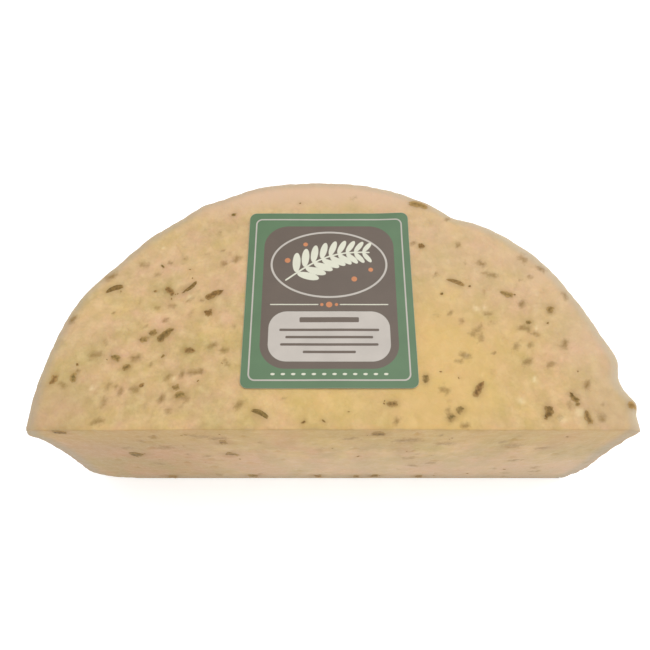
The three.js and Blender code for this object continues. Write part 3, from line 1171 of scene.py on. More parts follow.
@dataclass
class HalfWheel:
    """The half wheel itself: a pressed cheese sawn upright through its middle by a wire."""

    form: WheelForm
    blank_sides: int = 240
    blank_base_rounding: float = 11.5
    top_steps: int = 5
    base_steps: int = 8
    level_error: float = 0.01
    rim_error: float = 0.5
    longest_steps: float = 1.5
    voxel: float = 1.05
    facing_cut: Fade = Fade(0.6, 0.95)
    facing_up: Fade = Fade(0.6, 0.9)
    leaving_side: Fade = Fade(0.5, 0.9)
    near_base: Fade = Fade(1.2, 0.2)
    base_flat: float = 0.6
    near_label: Fade = Fade(2.0, -0.5)
    label_smoothness: float = 0.85
    label_depth: float = 0.25
    curd_size: float = 8.0
    curd_doming: float = 0.22
    curd_steepness: float = 3.0
    curd_level: float = 0.8
    lump_size: float = 3.2
    lump_height: float = 0.13
    swell_size: float = 26.0
    swell_height: float = 0.35
    cut_smoothness: float = 0.4
    chip_depth: float = 0.9
    chip_size: float = 4.5
    chip_reach: float = 1.5
    chip_share_down: float = 0.25
    chip_spread: float = 0.1
    chip_limit: float = 0.5
    opening_margin: float = 2.0
    opening_depth: tuple[float, float] = (0.35, 1.1)
    opening_size: tuple[float, float] = (0.9, 2.0)
    opening_stretch: tuple[float, float] = (1.0, 2.4)
    opening_steepness: float = 2.5
    seed: int = 77

    OPENINGS = ((Face.TOP, 46), (Face.CUT, 44), (Face.RIM, 70))

    def build(self) -> Piece:
        """Models the cheese and gives it its relief.

        Returns:
            The cheese.
        """
        piece = self.blank()
        self.round_edges(piece)
        finish_modifier(piece, "REMESH", mode="VOXEL", voxel_size=self.voxel * MM, use_smooth_shade=True)
        self.press_outline(piece)
        self.roughen(piece)
        return piece

    def blank(self) -> Piece:
        """Turns a whole wheel and cuts it through its middle.

        Returns:
            The half wheel with sharp edges.
        """
        form = self.form
        middle = (form.axis_x * MM, form.axis_y * MM, form.height * MM / 2)
        begin()
        bpy.ops.mesh.primitive_cylinder_add(
            vertices=self.blank_sides, radius=form.radius * MM, depth=form.height * MM, location=middle
        )
        piece = named_primitive("cheddar_half_wheel")
        settle(piece)
        bpy.ops.object.mode_set(mode="EDIT")
        bpy.ops.mesh.select_all(action="SELECT")
        cut_at = (0, form.axis_y * MM, 0)
        bpy.ops.mesh.bisect(plane_co=cut_at, plane_no=(0, 1, 0), use_fill=True, clear_inner=True)
        bpy.ops.object.mode_set(mode="OBJECT")
        return piece

    def round_edges(self, piece: Piece) -> None:
        """Rounds the rim's upper and lower edges, and leaves the edges of the cut sharp.

        Args:
            piece: The half wheel.
        """
        form = self.form
        bpy.context.tool_settings.mesh_select_mode = (False, True, False)
        top = (form.height, form.top_rounding, self.top_steps)
        base = (0.0, self.blank_base_rounding, self.base_steps)
        for level, rounding, steps in (top, base):
            self.select_rim_edge(piece, level)
            bpy.ops.object.mode_set(mode="EDIT")
            bpy.ops.mesh.bevel(offset=rounding * MM, segments=steps, profile=0.5, affect="EDGES")
            bpy.ops.object.mode_set(mode="OBJECT")

    def select_rim_edge(self, piece: Piece, level: float) -> None:
        """Selects the curved edge at one height.

        Args:
            piece: The half wheel.
            level: The edge's height.
        """
        form = self.form
        points = read_vectors(piece, "co") / MM
        from_axis = np.hypot(points[:, 0] - form.axis_x, points[:, 1] - form.axis_y)
        on_level = np.abs(points[:, 2] - level) < self.level_error
        on_edge = on_level & (from_axis > form.radius - self.rim_error)
        mesh = piece.data
        for part in (mesh.vertices, mesh.polygons, mesh.edges):
            part.foreach_set("select", [False] * len(part))
        longest = self.longest_steps * 2 * math.pi * form.radius / self.blank_sides
        for edge in mesh.edges:
            first, last = edge.vertices
            near = float(np.linalg.norm(points[first] - points[last])) < longest
            edge.select = bool(on_edge[first] and on_edge[last] and near)

    def press_outline(self, piece: Piece) -> None:
        """Gives the rim its swells and hollows, and the top face its sink.

        Args:
            piece: The half wheel.
        """
        form = self.form
        points = read_vectors(piece, "co") / MM
        x = points[:, 0] - form.axis_x
        y = np.maximum(points[:, 1] - form.axis_y, 0)
        z = points[:, 2]
        from_axis = np.hypot(x, y)
        angle = np.clip(np.degrees(np.arctan2(y, x)), 0, 180)
        top_inset = self.inset(z - (form.height - form.top_rounding), form.top_rounding)
        blank_rounding = self.blank_base_rounding
        before = form.radius - top_inset - self.inset(blank_rounding - z, blank_rounding)
        rounding = form.base_rounding(angle)
        after = form.rim_radius(angle, z) - top_inset - self.inset(rounding - z, rounding)
        share = np.clip(from_axis / before, 0, 1) ** 2
        stretch = 1 + (after / before - 1) * share
        points[:, 0] = form.axis_x + x * stretch
        points[:, 1] = form.axis_y + y * stretch
        near_top = Fade(form.height - form.top_rounding, form.height).at(z)
        points[:, 2] = z - form.top_drop(x * stretch, y * stretch) * near_top
        write_points(piece, points)

    def inset(self, past: Array, rounding: Array | float) -> Array:
        """Gives how far a quarter-round edge has drawn in, so far past the start of its rounding."""
        share = np.clip(past / rounding, 0, 1)
        return rounding * (1 - np.sqrt(1 - share * share))

    def roughen(self, piece: Piece) -> None:
        """Gives the surface its curd grains, lumps, swells and openings, and keeps the base flat.

        Args:
            piece: The cheese.
        """
        form = self.form
        points = read_vectors(piece, "co") / MM
        normals = read_vectors(piece, "normal")
        on_cut = self.facing_cut.at(-normals[:, 1])
        to_patch = form.distance_to_patch(points[:, 0] - form.axis_x, points[:, 1] - form.axis_y)
        under_label = self.near_label.at(to_patch) * self.facing_up.at(normals[:, 2])
        relief = self.lump_height * noise_at(points, self.lump_size, shift=0.0)
        relief += self.curd_relief(points)
        relief *= 1 - self.cut_smoothness * on_cut
        swell = self.swell_height * noise_at(points, self.swell_size, shift=9.0)
        relief += swell * (1 - on_cut) * (1 - self.leaving_side.at(normals[:, 2]))
        relief *= 1 - self.label_smoothness * under_label
        relief -= self.openings_depth(points) * (1 - under_label)
        relief -= self.chips_depth(points)
        relief -= self.label_depth * under_label
        relief *= 1 - self.near_base.at(points[:, 2])
        points += normals * relief[:, None]
        points[:, 2] = np.where(points[:, 2] < self.base_flat, 0.0, points[:, 2])
        write_points(piece, points)

    def chips_depth(self, points: Array) -> Array:
        """Wears small crumbs off the sharp edges that the cut left.

        Args:
            points: The cheese's points.

        Returns:
            How much is worn off at each.
        """
        form = self.form
        x = points[:, 0] - form.axis_x
        from_cut = points[:, 1] - form.axis_y
        to_top = np.hypot(form.height - form.top_drop(x, from_cut) - points[:, 2], from_cut)
        to_rim = np.hypot(form.within_rim(x, points[:, 2]), from_cut)
        near_rim = self.chip_share_down * bell(to_rim, self.chip_reach)
        crumbly = noise_at(points, self.chip_size, shift=14.0) + self.chip_spread
        broken = np.clip(crumbly, 0, self.chip_limit)
        return self.chip_depth * np.maximum(bell(to_top, self.chip_reach), near_rim) * broken

    def curd_relief(self, points: Array) -> Array:
        """Domes each curd grain a little between the joins round it.

        Args:
            points: The cheese's points.

        Returns:
            The height at each.
        """
        heights = np.empty(len(points))
        for index, point in enumerate(points):
            nearest = noise.voronoi(Vector(point) / self.curd_size)[0]
            heights[index] = min(1.0, (nearest[1] - nearest[0]) * self.curd_steepness)
        return self.curd_doming * (heights - self.curd_level)

    def openings_depth(self, points: Array) -> Array:
        """Sinks the small openings that pressing leaves between the curds.

        Args:
            points: The cheese's points.

        Returns:
            The depth at each.
        """
        draw = random.Random(self.seed)
        plan = HerbPlan(self.form)
        depth = np.zeros(len(points))
        for face, count in self.OPENINGS:
            for _ in range(count):
                across, along = plan.free_place(draw, face, self.opening_margin)
                spot, away, sideways = self.form.spot(face, across, along)
                size = draw.uniform(*self.opening_size)
                stretch = draw.uniform(*self.opening_stretch)
                long_way = Matrix.Rotation(draw.uniform(0, math.pi), 3, away) @ sideways
                offset = points - np.array(spot)
                lengthways = offset @ np.array(long_way)
                rest = np.sqrt(np.maximum((offset**2).sum(axis=1) - lengthways**2, 0))
                reach = np.hypot(lengthways / (size * stretch), rest / size)
                sunk = draw.uniform(*self.opening_depth) * np.exp(-(reach**2) * self.opening_steepness)
                depth = np.maximum(depth, sunk)
        return depth

    def dress(self, piece: Piece) -> None:
        """Gives the cheese its material and its place in the model.

        Args:
            piece: The cheese.
        """
        piece.data.materials.clear()
        piece.data.materials.append(CheddarPaste().make())
        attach(piece, "root")
        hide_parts("cheese")


@dataclass
class PasteMarks:
    """Where the paste's colour changes, and where shade and light are painted on it, stored on the cheese
    for its material to read.

    X runs across from the wheel's axis, from_cut back from the cut, and z up from the base. Left
    and more are a tone's strength at the left, and how much stronger it is at the right.
    """

    form: WheelForm
    facing_side: Fade = Fade(0.93, 0.6)
    facing_cut: Fade = Fade(0.75, 0.95)
    facing_up: Fade = Fade(0.4, 0.8)
    within_cut: Fade = Fade(1.6, 0.6)
    # The cut face's duller tone, with painted shade: strongest at its left end, least in its middle, a
    # little more at its right end
    dull: float = 1.75
    brighter_middle: float = 1.35
    middle_from: Fade = Fade(-83.1, -18.1)
    duller_right: float = 0.5
    right_from: Fade = Fade(46.9, 111.9)
    # Painted shade: the cut face darkens towards its top
    painted_cut_top_shade: Fade = Fade(58.0, 82.0)
    # Painted light: the cut face grows paler towards its bottom, from just left of its middle rightwards
    painted_cut_low_light: Fade = Fade(62.0, 22.0)
    painted_cut_low_light_from: Fade = Fade(-73.1, -13.1)
    # The cut face is darker within a few millimetres of the rim
    cut_outer_band: Fade = Fade(8.0, 3.0)
    # The darker base: partly a drier crust and partly painted contact shade
    foot: Fade = Fade(13.0, 2.0)
    cloud_size: float = 27.0
    dry_patchiness: float = 1.5
    dry_patch_start: float = -0.1
    dry_left_and_more: tuple[float, float] = (0.35, 0.45)
    dry_near_rim: Fade = Fade(89.0, 111.5)
    dry_right: Fade = Fade(-70.0, 50.0)
    dry_back: Fade = Fade(88.0, 108.0)
    dry_back_strength: float = 1.6
    dry_broad: Fade = Fade(35.0, 80.0)
    dry_broad_left_and_more: tuple[float, float] = (0.3, 0.25)
    dry_broad_right: Fade = Fade(-30.0, 40.0)
    worn_ends: Fade = Fade(76.0, 110.0)
    worn_front: Fade = Fade(34.0, 4.0)
    worn_right: float = 0.55
    line_facing_up: Fade = Fade(-0.1, 0.5)
    line_width: Fade = Fade(6.2, 2.0)
    line_pale_from: Fade = Fade(-20.0, 50.0)
    rich_x: float = 28.0
    rich_from_cut: float = 22.0
    rich_width_share: float = 1.5
    rich_least: float = 0.3
    rich_reach: Fade = Fade(52.0, 15.6)
    pale_drawn: int = 7
    pale_margin: float = 3.0
    pale_reach: tuple[float, float] = (0.8, 1.7)
    pale_grain: float = 2.2
    pale_raggedness: float = 0.4
    pale_core_share: float = 0.4
    seed: int = 78
    stain_margin: float = 3.0
    straight_share: float = 0.3
    open_length: float = 3.0
    open_reach: tuple[float, float] = (0.5, 0.6)
    veil_grain: float = 1.6
    veil_raggedness: float = 0.6
    veil_limits: tuple[float, float] = (1.15, 1.6)
    core_reach: tuple[float, float] = (0.3, 0.3)
    halo_reach: tuple[float, float] = (0.6, 0.6)
    core_share: float = 0.65

    PALE_CURDS = ((94, 7, 2.4), (87, 4, 2.0), (59.5, 51, 1.8), (63, 51.5, 1.4), (-58, 56, 1.6))

    def write(self, piece: Piece, herbs: Sequence[Herb]) -> None:
        """Stores the marks on the cheese, each as an attribute of its points.

        Args:
            piece: The cheese.
            herbs: Every bit of herb.
        """
        points = read_vectors(piece, "co") / MM
        normals = read_vectors(piece, "normal")
        marks = {
            **self.side_marks(points, normals),
            **self.top_marks(points, normals),
            **self.herb_marks(points, herbs),
        }
        for name, values in marks.items():
            write_attribute(piece, name, values)

    def side_marks(self, points: Array, normals: Array) -> dict[str, Array]:
        """Marks the cut face: its dull tone with painted shade at its ends, painted shade on its upper
        part, painted light on its lower part and its darker outer band; and the rim.

        Args:
            points: The cheese's points.
            normals: The direction it faces at each of them.

        Returns:
            The marks by name.
        """
        x = points[:, 0] - self.form.axis_x
        z = points[:, 2]
        from_cut = points[:, 1] - self.form.axis_y
        on_cut = self.facing_cut.at(-normals[:, 1]) * self.within_cut.at(from_cut)
        dull = self.dull - self.brighter_middle * self.middle_from.at(x)
        dull += self.duller_right * self.right_from.at(x)
        return {
            "cut_face": on_cut,
            # The cut face's duller tone, with painted shade at its ends
            "cut_dull_and_shade": on_cut * dull,
            # Painted shade on the cut face's upper part
            "painted_cut_top_shade": on_cut * self.painted_cut_top_shade.at(z),
            # Painted light on the cut face's lower part, right of its left end
            "painted_cut_low_light": on_cut * self.painted_cut_low_light.at(z) * self.painted_cut_low_light_from.at(x),
            "cut_outer_band": on_cut * self.cut_outer_band.at(self.form.within_rim(x, z)),
            "rim_face": self.facing_side.at(np.abs(normals[:, 2])) * (1 - on_cut),
            # Darker base, partly crust and partly painted contact shade
            "foot": self.foot.at(z),
        }

    def top_marks(self, points: Array, normals: Array) -> dict[str, Array]:
        """Marks where the top face is rich, dry, worn or pale, and the line along its rim.

        Args:
            points: The cheese's points.
            normals: The direction it faces at each of them.

        Returns:
            The marks by name.
        """
        form = self.form
        x = points[:, 0] - form.axis_x
        from_cut = points[:, 1] - form.axis_y
        from_axis = np.hypot(x, from_cut)
        facing_up = self.facing_up.at(normals[:, 2])
        cloud = 0.5 + 0.5 * noise_at(points, self.cloud_size, shift=4.0)
        left, more = self.dry_left_and_more
        patchy = np.clip(self.dry_patchiness * cloud + self.dry_patch_start, 0, 1)
        patchy = patchy * (left + more * self.dry_right.at(x))
        border = np.maximum(patchy, self.dry_back_strength * self.dry_back.at(from_cut))
        left, more = self.dry_broad_left_and_more
        broad = self.dry_broad.at(from_cut) * (left + more * self.dry_broad_right.at(x))
        worn = self.worn_ends.at(np.abs(x)) * self.worn_front.at(from_cut)
        angle = np.degrees(np.arctan2(np.maximum(from_cut, 0), x))
        from_rim = form.rim_radius(angle, points[:, 2]) - from_axis
        rim_line = self.line_facing_up.at(normals[:, 2]) * self.line_width.at(from_rim)
        from_middle = np.hypot((x - self.rich_x) / self.rich_width_share, from_cut - self.rich_from_cut)
        rich = self.rich_reach.at(from_middle) * np.clip(self.rich_least + cloud, 0, 1)
        pale = np.zeros(len(points))
        for spot_x, spot_from_cut, size in self.pale_spots():
            ragged = 1 + self.pale_raggedness * noise_at(points, self.pale_grain, shift=spot_x)
            distance = np.hypot(x - spot_x, from_cut - spot_from_cut) * ragged
            grain = Fade(size, size * self.pale_core_share)
            pale = np.maximum(pale, facing_up * grain.at(distance))
        return {
            "dry_border": facing_up * np.maximum(self.dry_near_rim.at(from_axis) * border, broad),
            "worn_corner": facing_up * worn * np.where(x < 0, 1.0, self.worn_right),
            "rim_line": rim_line,
            "rim_pale": rim_line * self.line_pale_from.at(x),
            "rich_middle": facing_up * rich,
            "pale_curd": pale,
        }

    def pale_spots(self) -> list[tuple[float, float, float]]:
        """Gives the pale curd grains of the top face.

        Returns:
            Each grain's place across and back, and its reach.
        """
        draw = random.Random(self.seed)
        plan = HerbPlan(self.form)
        spots = list(self.PALE_CURDS)
        for _ in range(self.pale_drawn):
            place = plan.free_place(draw, Face.TOP, self.pale_margin)
            spots.append((*place, draw.uniform(*self.pale_reach)))
        return spots

    def herb_marks(self, points: Array, herbs: Sequence[Herb]) -> dict[str, Array]:
        """Marks the tint round the herbs that lie open, and the bits that show through the paste.

        Args:
            points: The cheese's points.
            herbs: Every bit of herb.

        Returns:
            The marks by name.
        """
        stain = np.zeros(len(points))
        veiled = np.zeros(len(points))
        for herb in herbs:
            spot, away, sideways = self.form.spot(herb.face, herb.across, herb.along)
            offset = points - np.array(spot)
            close = np.nonzero((offset**2).sum(axis=1) < (herb.length + self.stain_margin) ** 2)[0]
            if not len(close):
                continue
            offset = offset[close]
            long_way = np.array(Matrix.Rotation(math.radians(herb.turn), 3, away) @ sideways)
            lengthways = offset @ long_way
            beyond = np.maximum(np.abs(lengthways) - herb.length * self.straight_share, 0)
            rest = np.sqrt(np.maximum((offset**2).sum(axis=1) - lengthways**2, 0))
            distance = np.hypot(beyond, rest)
            if herb.lies_open:
                tint = min(1.0, herb.length / self.open_length) * self.glow(distance, herb, self.open_reach)
                stain[close] = np.maximum(stain[close], tint)
            else:
                ragged = noise_at(points[close], self.veil_grain, shift=herb.across)
                distance *= 1 + self.veil_raggedness * ragged
                core = self.core_share * self.glow(distance, herb, self.core_reach)
                halo = (1 - self.core_share) * self.glow(distance, herb, self.halo_reach)
                through = min(1.0, (self.veil_limits[0] - herb.veil) * self.veil_limits[1])
                veiled[close] = np.maximum(veiled[close], through * (core + halo))
        return {"herb_stain": stain, "veiled_herb": veiled}

    def glow(self, distance: Array, herb: Herb, reach: tuple[float, float]) -> Array:
        """Fades a mark out round a bit of herb, past a share of its width and some millimetres more."""
        return bell(distance, reach[0] * herb.width + reach[1])


def arch(along: float) -> float:
    """Gives a low arch over a unit length: 1 in its middle and 0 at its ends."""
    return 1 - 4 * along * along


@dataclass(frozen=True)
class LeafShape:
    """One torn shard of leaf, a unit long and wide, with its thickness in real size.

    Waves are how many swells of a noise lie along a unit, and the torn edge's are closer together
    along the leaf than those that crinkle it.
    """

    thickness: float = 0.32
    crinkle: float = 0.16
    steps_long: int = 12
    steps_wide: int = 5
    bend: tuple[float, float] = (-0.22, 0.22)
    first_tip: tuple[float, float] = (0.03, 0.15)
    last_tip: tuple[float, float] = (0.05, 0.28)
    fullest: tuple[float, float] = (-0.2, 0.2)
    pattern_shift: tuple[float, float] = (0, 50)
    bluntness: float = 0.6
    raggedness: float = 0.5
    torn_waves: float = 6
    crinkle_waves: float = 3
    jaggedness: float = 0.12
    jagged_waves: float = 5
    filmed_side: Fade = Fade(0.15, 0.5)
    filmed_tip: Fade = Fade(0.36, 0.5)

    def build(self, draw: random.Random) -> Piece:
        """Models the shape.

        Args:
            draw: Where its random outline comes from.

        Returns:
            The shape.
        """
        begin()
        bpy.ops.mesh.primitive_grid_add(
            x_subdivisions=self.steps_long, y_subdivisions=self.steps_wide, size=1
        )
        piece = named_primitive("leaf_shape")
        bend = draw.uniform(*self.bend)
        tips = draw.uniform(*self.first_tip), draw.uniform(*self.last_tip)
        fullest = draw.uniform(*self.fullest)
        shift = draw.uniform(*self.pattern_shift)
        points = read_vectors(piece, "co")
        to_edge = self.filmed_side.at(np.abs(points[:, 1]))
        to_tip = self.filmed_tip.at(np.abs(points[:, 0]))
        write_attribute(piece, "film", np.maximum(to_edge, to_tip))
        for point in points:
            along = point[0]
            tip = tips[0] if along < fullest else tips[1]
            reach = abs(along - fullest) / (0.5 + abs(fullest))
            torn = Vector((along * self.torn_waves, point[1] * self.crinkle_waves, shift))
            ragged = self.raggedness * noise.noise(torn)
            point[1] *= tip + (1 - tip) * max(0.0, 1 - reach**2) ** self.bluntness + ragged
            point[1] += bend * arch(along)
            jagged = Vector((point[1] * self.jagged_waves, along, shift + 9))
            point[0] += self.jaggedness * noise.noise(jagged)
            crinkled = Vector((along * self.crinkle_waves, point[1] * self.crinkle_waves, shift + 5))
            point[2] = self.crinkle * MM * noise.noise(crinkled)
        write_points(piece, points / MM)
        finish_modifier(piece, "SOLIDIFY", thickness=self.thickness * MM, offset=-1.0)
        return piece


@dataclass(frozen=True)
class StalkShape:
    """One short length of stalk, a unit long and wide, flattened by the press."""

    thickness: float = 0.512
    sides: int = 8
    bends_at: tuple[float, ...] = (-0.4, -0.22, 0.0, 0.22, 0.4)
    bend: tuple[float, float] = (-0.5, 0.5)
    lean: tuple[float, float] = (-0.35, 0.35)
    pattern_shift: tuple[float, float] = (0, 50)
    end_taper: float = 0.55
    taper_power: int = 3
    lumpiness: float = 0.45
    lump_waves: float = 5
    filmed_side: Fade = Fade(0.45, 0.1)
    filmed_tip: Fade = Fade(0.4, 0.5)

    def build(self, draw: random.Random) -> Piece:
        """Models the shape.

        Args:
            draw: Where its bend comes from.

        Returns:
            The shape.
        """
        begin()
        lying = (0, math.pi / 2, 0)
        bpy.ops.mesh.primitive_cylinder_add(
            vertices=self.sides, radius=0.5, depth=1, rotation=lying, end_fill_type="TRIFAN"
        )
        piece = named_primitive("stalk_shape")
        settle(piece)
        bpy.ops.object.mode_set(mode="EDIT")
        for place in self.bends_at:
            bpy.ops.mesh.select_all(action="SELECT")
            bpy.ops.mesh.bisect(plane_co=(place, 0, 0), plane_no=(1, 0, 0))
        bpy.ops.object.mode_set(mode="OBJECT")
        bend = draw.uniform(*self.bend)
        lean = draw.uniform(*self.lean)
        shift = draw.uniform(*self.pattern_shift)
        points = read_vectors(piece, "co")
        to_side = self.filmed_side.at(points[:, 2])
        to_tip = self.filmed_tip.at(np.abs(points[:, 0]))
        write_attribute(piece, "film", np.maximum(to_side, to_tip))
        for point in points:
            from_middle = 2 * point[0]
            fatness = 1 - self.end_taper * abs(from_middle) ** self.taper_power
            fatness *= 1 + lean * from_middle
            fatness += self.lumpiness * noise.noise(Vector((point[0] * self.lump_waves, 0, shift)))
            point[1] = point[1] * fatness + bend * arch(point[0])
            point[2] = (point[2] - 0.5) * self.thickness * MM
        write_points(piece, points / MM)
        return piece


@dataclass(frozen=True)
class SpeckShape:
    """One crumb of herb, a unit long and wide, flattened by the press."""

    thickness: float = 0.32
    fineness: int = 2
    unevenness: tuple[float, float] = (0.7, 1.15)
    sunk_share: float = 0.3
    filmed_side: Fade = Fade(0.45, 0.05)

    def build(self, draw: random.Random) -> Piece:
        """Models the shape.

        Args:
            draw: Where its uneven form comes from.

        Returns:
            The shape.
        """
        begin()
        bpy.ops.mesh.primitive_ico_sphere_add(subdivisions=self.fineness, radius=0.5)
        piece = named_primitive("speck_shape")
        points = read_vectors(piece, "co")
        write_attribute(piece, "film", self.filmed_side.at(points[:, 2]))
        for point in points:
            point[:2] *= draw.uniform(*self.unevenness)
            point[2] = (point[2] - self.sunk_share) * self.thickness * MM
        write_points(piece, points / MM)
        return piece


@dataclass
class HerbBits:
    """The bits of herb that show, each one modelled shape copied, sized and pressed on the cheese.

    A shape stores how much paste covers each of its points, as the attribute film.
    """

    form: WheelForm
    variants: int = 7
    proud: float = 0.16
    sunk_by_veil: float = 1.6
    press_reach: float = 4.0
    lowest: float = 0.05
    film_share: float = 0.6
    film_by_veil: float = 1.3
    smooth_below: float = 50.0
    seed: int = 505

    SHAPES = {
        HerbKind.LEAF: LeafShape(),
        HerbKind.STALK: StalkShape(),
        HerbKind.SPECK: SpeckShape(),
    }

    def build(self, herbs: Sequence[Herb], cheese: Piece) -> list[Piece]:
        """Makes one piece of each kind of herb.

        Args:
            herbs: Every bit of herb. Those that are only stains are passed over.
            cheese: The finished cheese.

        Returns:
            The pieces.
        """
        surface = BVHTree.FromObject(cheese, bpy.context.evaluated_depsgraph_get())
        draw = random.Random(self.seed)
        pieces = []
        for kind, shape in self.SHAPES.items():
            chosen = [herb for herb in herbs if herb.kind is kind and herb.lies_open]
            shapes = [shape.build(draw) for _ in range(self.variants)]
            copies = [
                self.pressed_copy(draw.choice(shapes), herb, surface, draw.random()) for herb in chosen
            ]
            for used in shapes:
                bpy.data.objects.remove(used)
            pieces.append(self.joined([copy for copy in copies if copy], f"herb_{kind.value}s"))
        return pieces

    def pressed_copy(self, shape: Piece, herb: Herb, surface: BVHTree, tone: float) -> Piece | None:
        """Copies a shape to its place, each point as high over the cheese as it is in the shape.

        Args:
            shape: The unit shape.
            herb: The bit's place and size.
            surface: The cheese's surface.
            tone: 0 for green and 1 for brown.

        Returns:
            The copy, or None where it would hang over an edge.
        """
        spot, away, sideways = self.form.spot(herb.face, herb.across, herb.along)
        long_way = Matrix.Rotation(math.radians(herb.turn), 3, away) @ sideways
        cross_way = away.cross(long_way)
        copy = shape.copy()
        copy.data = shape.data.copy()
        bpy.context.scene.collection.objects.link(copy)
        raised = self.proud * (1 - self.sunk_by_veil * herb.veil) * MM
        reach = self.press_reach * MM
        for vertex in copy.data.vertices:
            across = vertex.co.x * herb.length * MM
            along = vertex.co.y * herb.width * MM
            over = spot * MM + long_way * across + cross_way * along
            hit = surface.ray_cast(over + away * reach, -away, 2 * reach)[0]
            if hit is None:
                bpy.data.objects.remove(copy)
                return None
            vertex.co = hit + away * (vertex.co.z + raised)
            vertex.co.z = max(vertex.co.z, self.lowest * MM)
        write_attribute(copy, "tone", np.full(len(copy.data.vertices), tone))
        film = copy.data.attributes["film"]
        covered = np.empty(len(copy.data.vertices), np.float32)
        film.data.foreach_get("value", covered)
        veiled = np.clip(self.film_share * covered + self.film_by_veil * herb.veil, 0, 1)
        film.data.foreach_set("value", veiled)
        return copy

    def joined(self, copies: Sequence[Piece], name: str) -> Piece:
        """Joins copies into one piece, smooth where it is round.

        Args:
            copies: The copies.
            name: The piece's name.

        Returns:
            The piece.
        """
        begin()
        for copy in copies:
            copy.select_set(True)
        bpy.context.view_layer.objects.active = copies[0]
        bpy.ops.object.join()
        piece = named_primitive(name)
        bpy.ops.object.shade_smooth_by_angle(angle=math.radians(self.smooth_below))
        return piece

    def dress(self, pieces: Sequence[Piece]) -> None:
        """Gives the herbs their material and their place in the model.

        Args:
            pieces: The pieces.
        """
        material = ChoppedHerb().make()
        for piece in pieces:
            piece.data.materials.clear()
            piece.data.materials.append(material)
            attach(piece, "root")
            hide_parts("cheese")


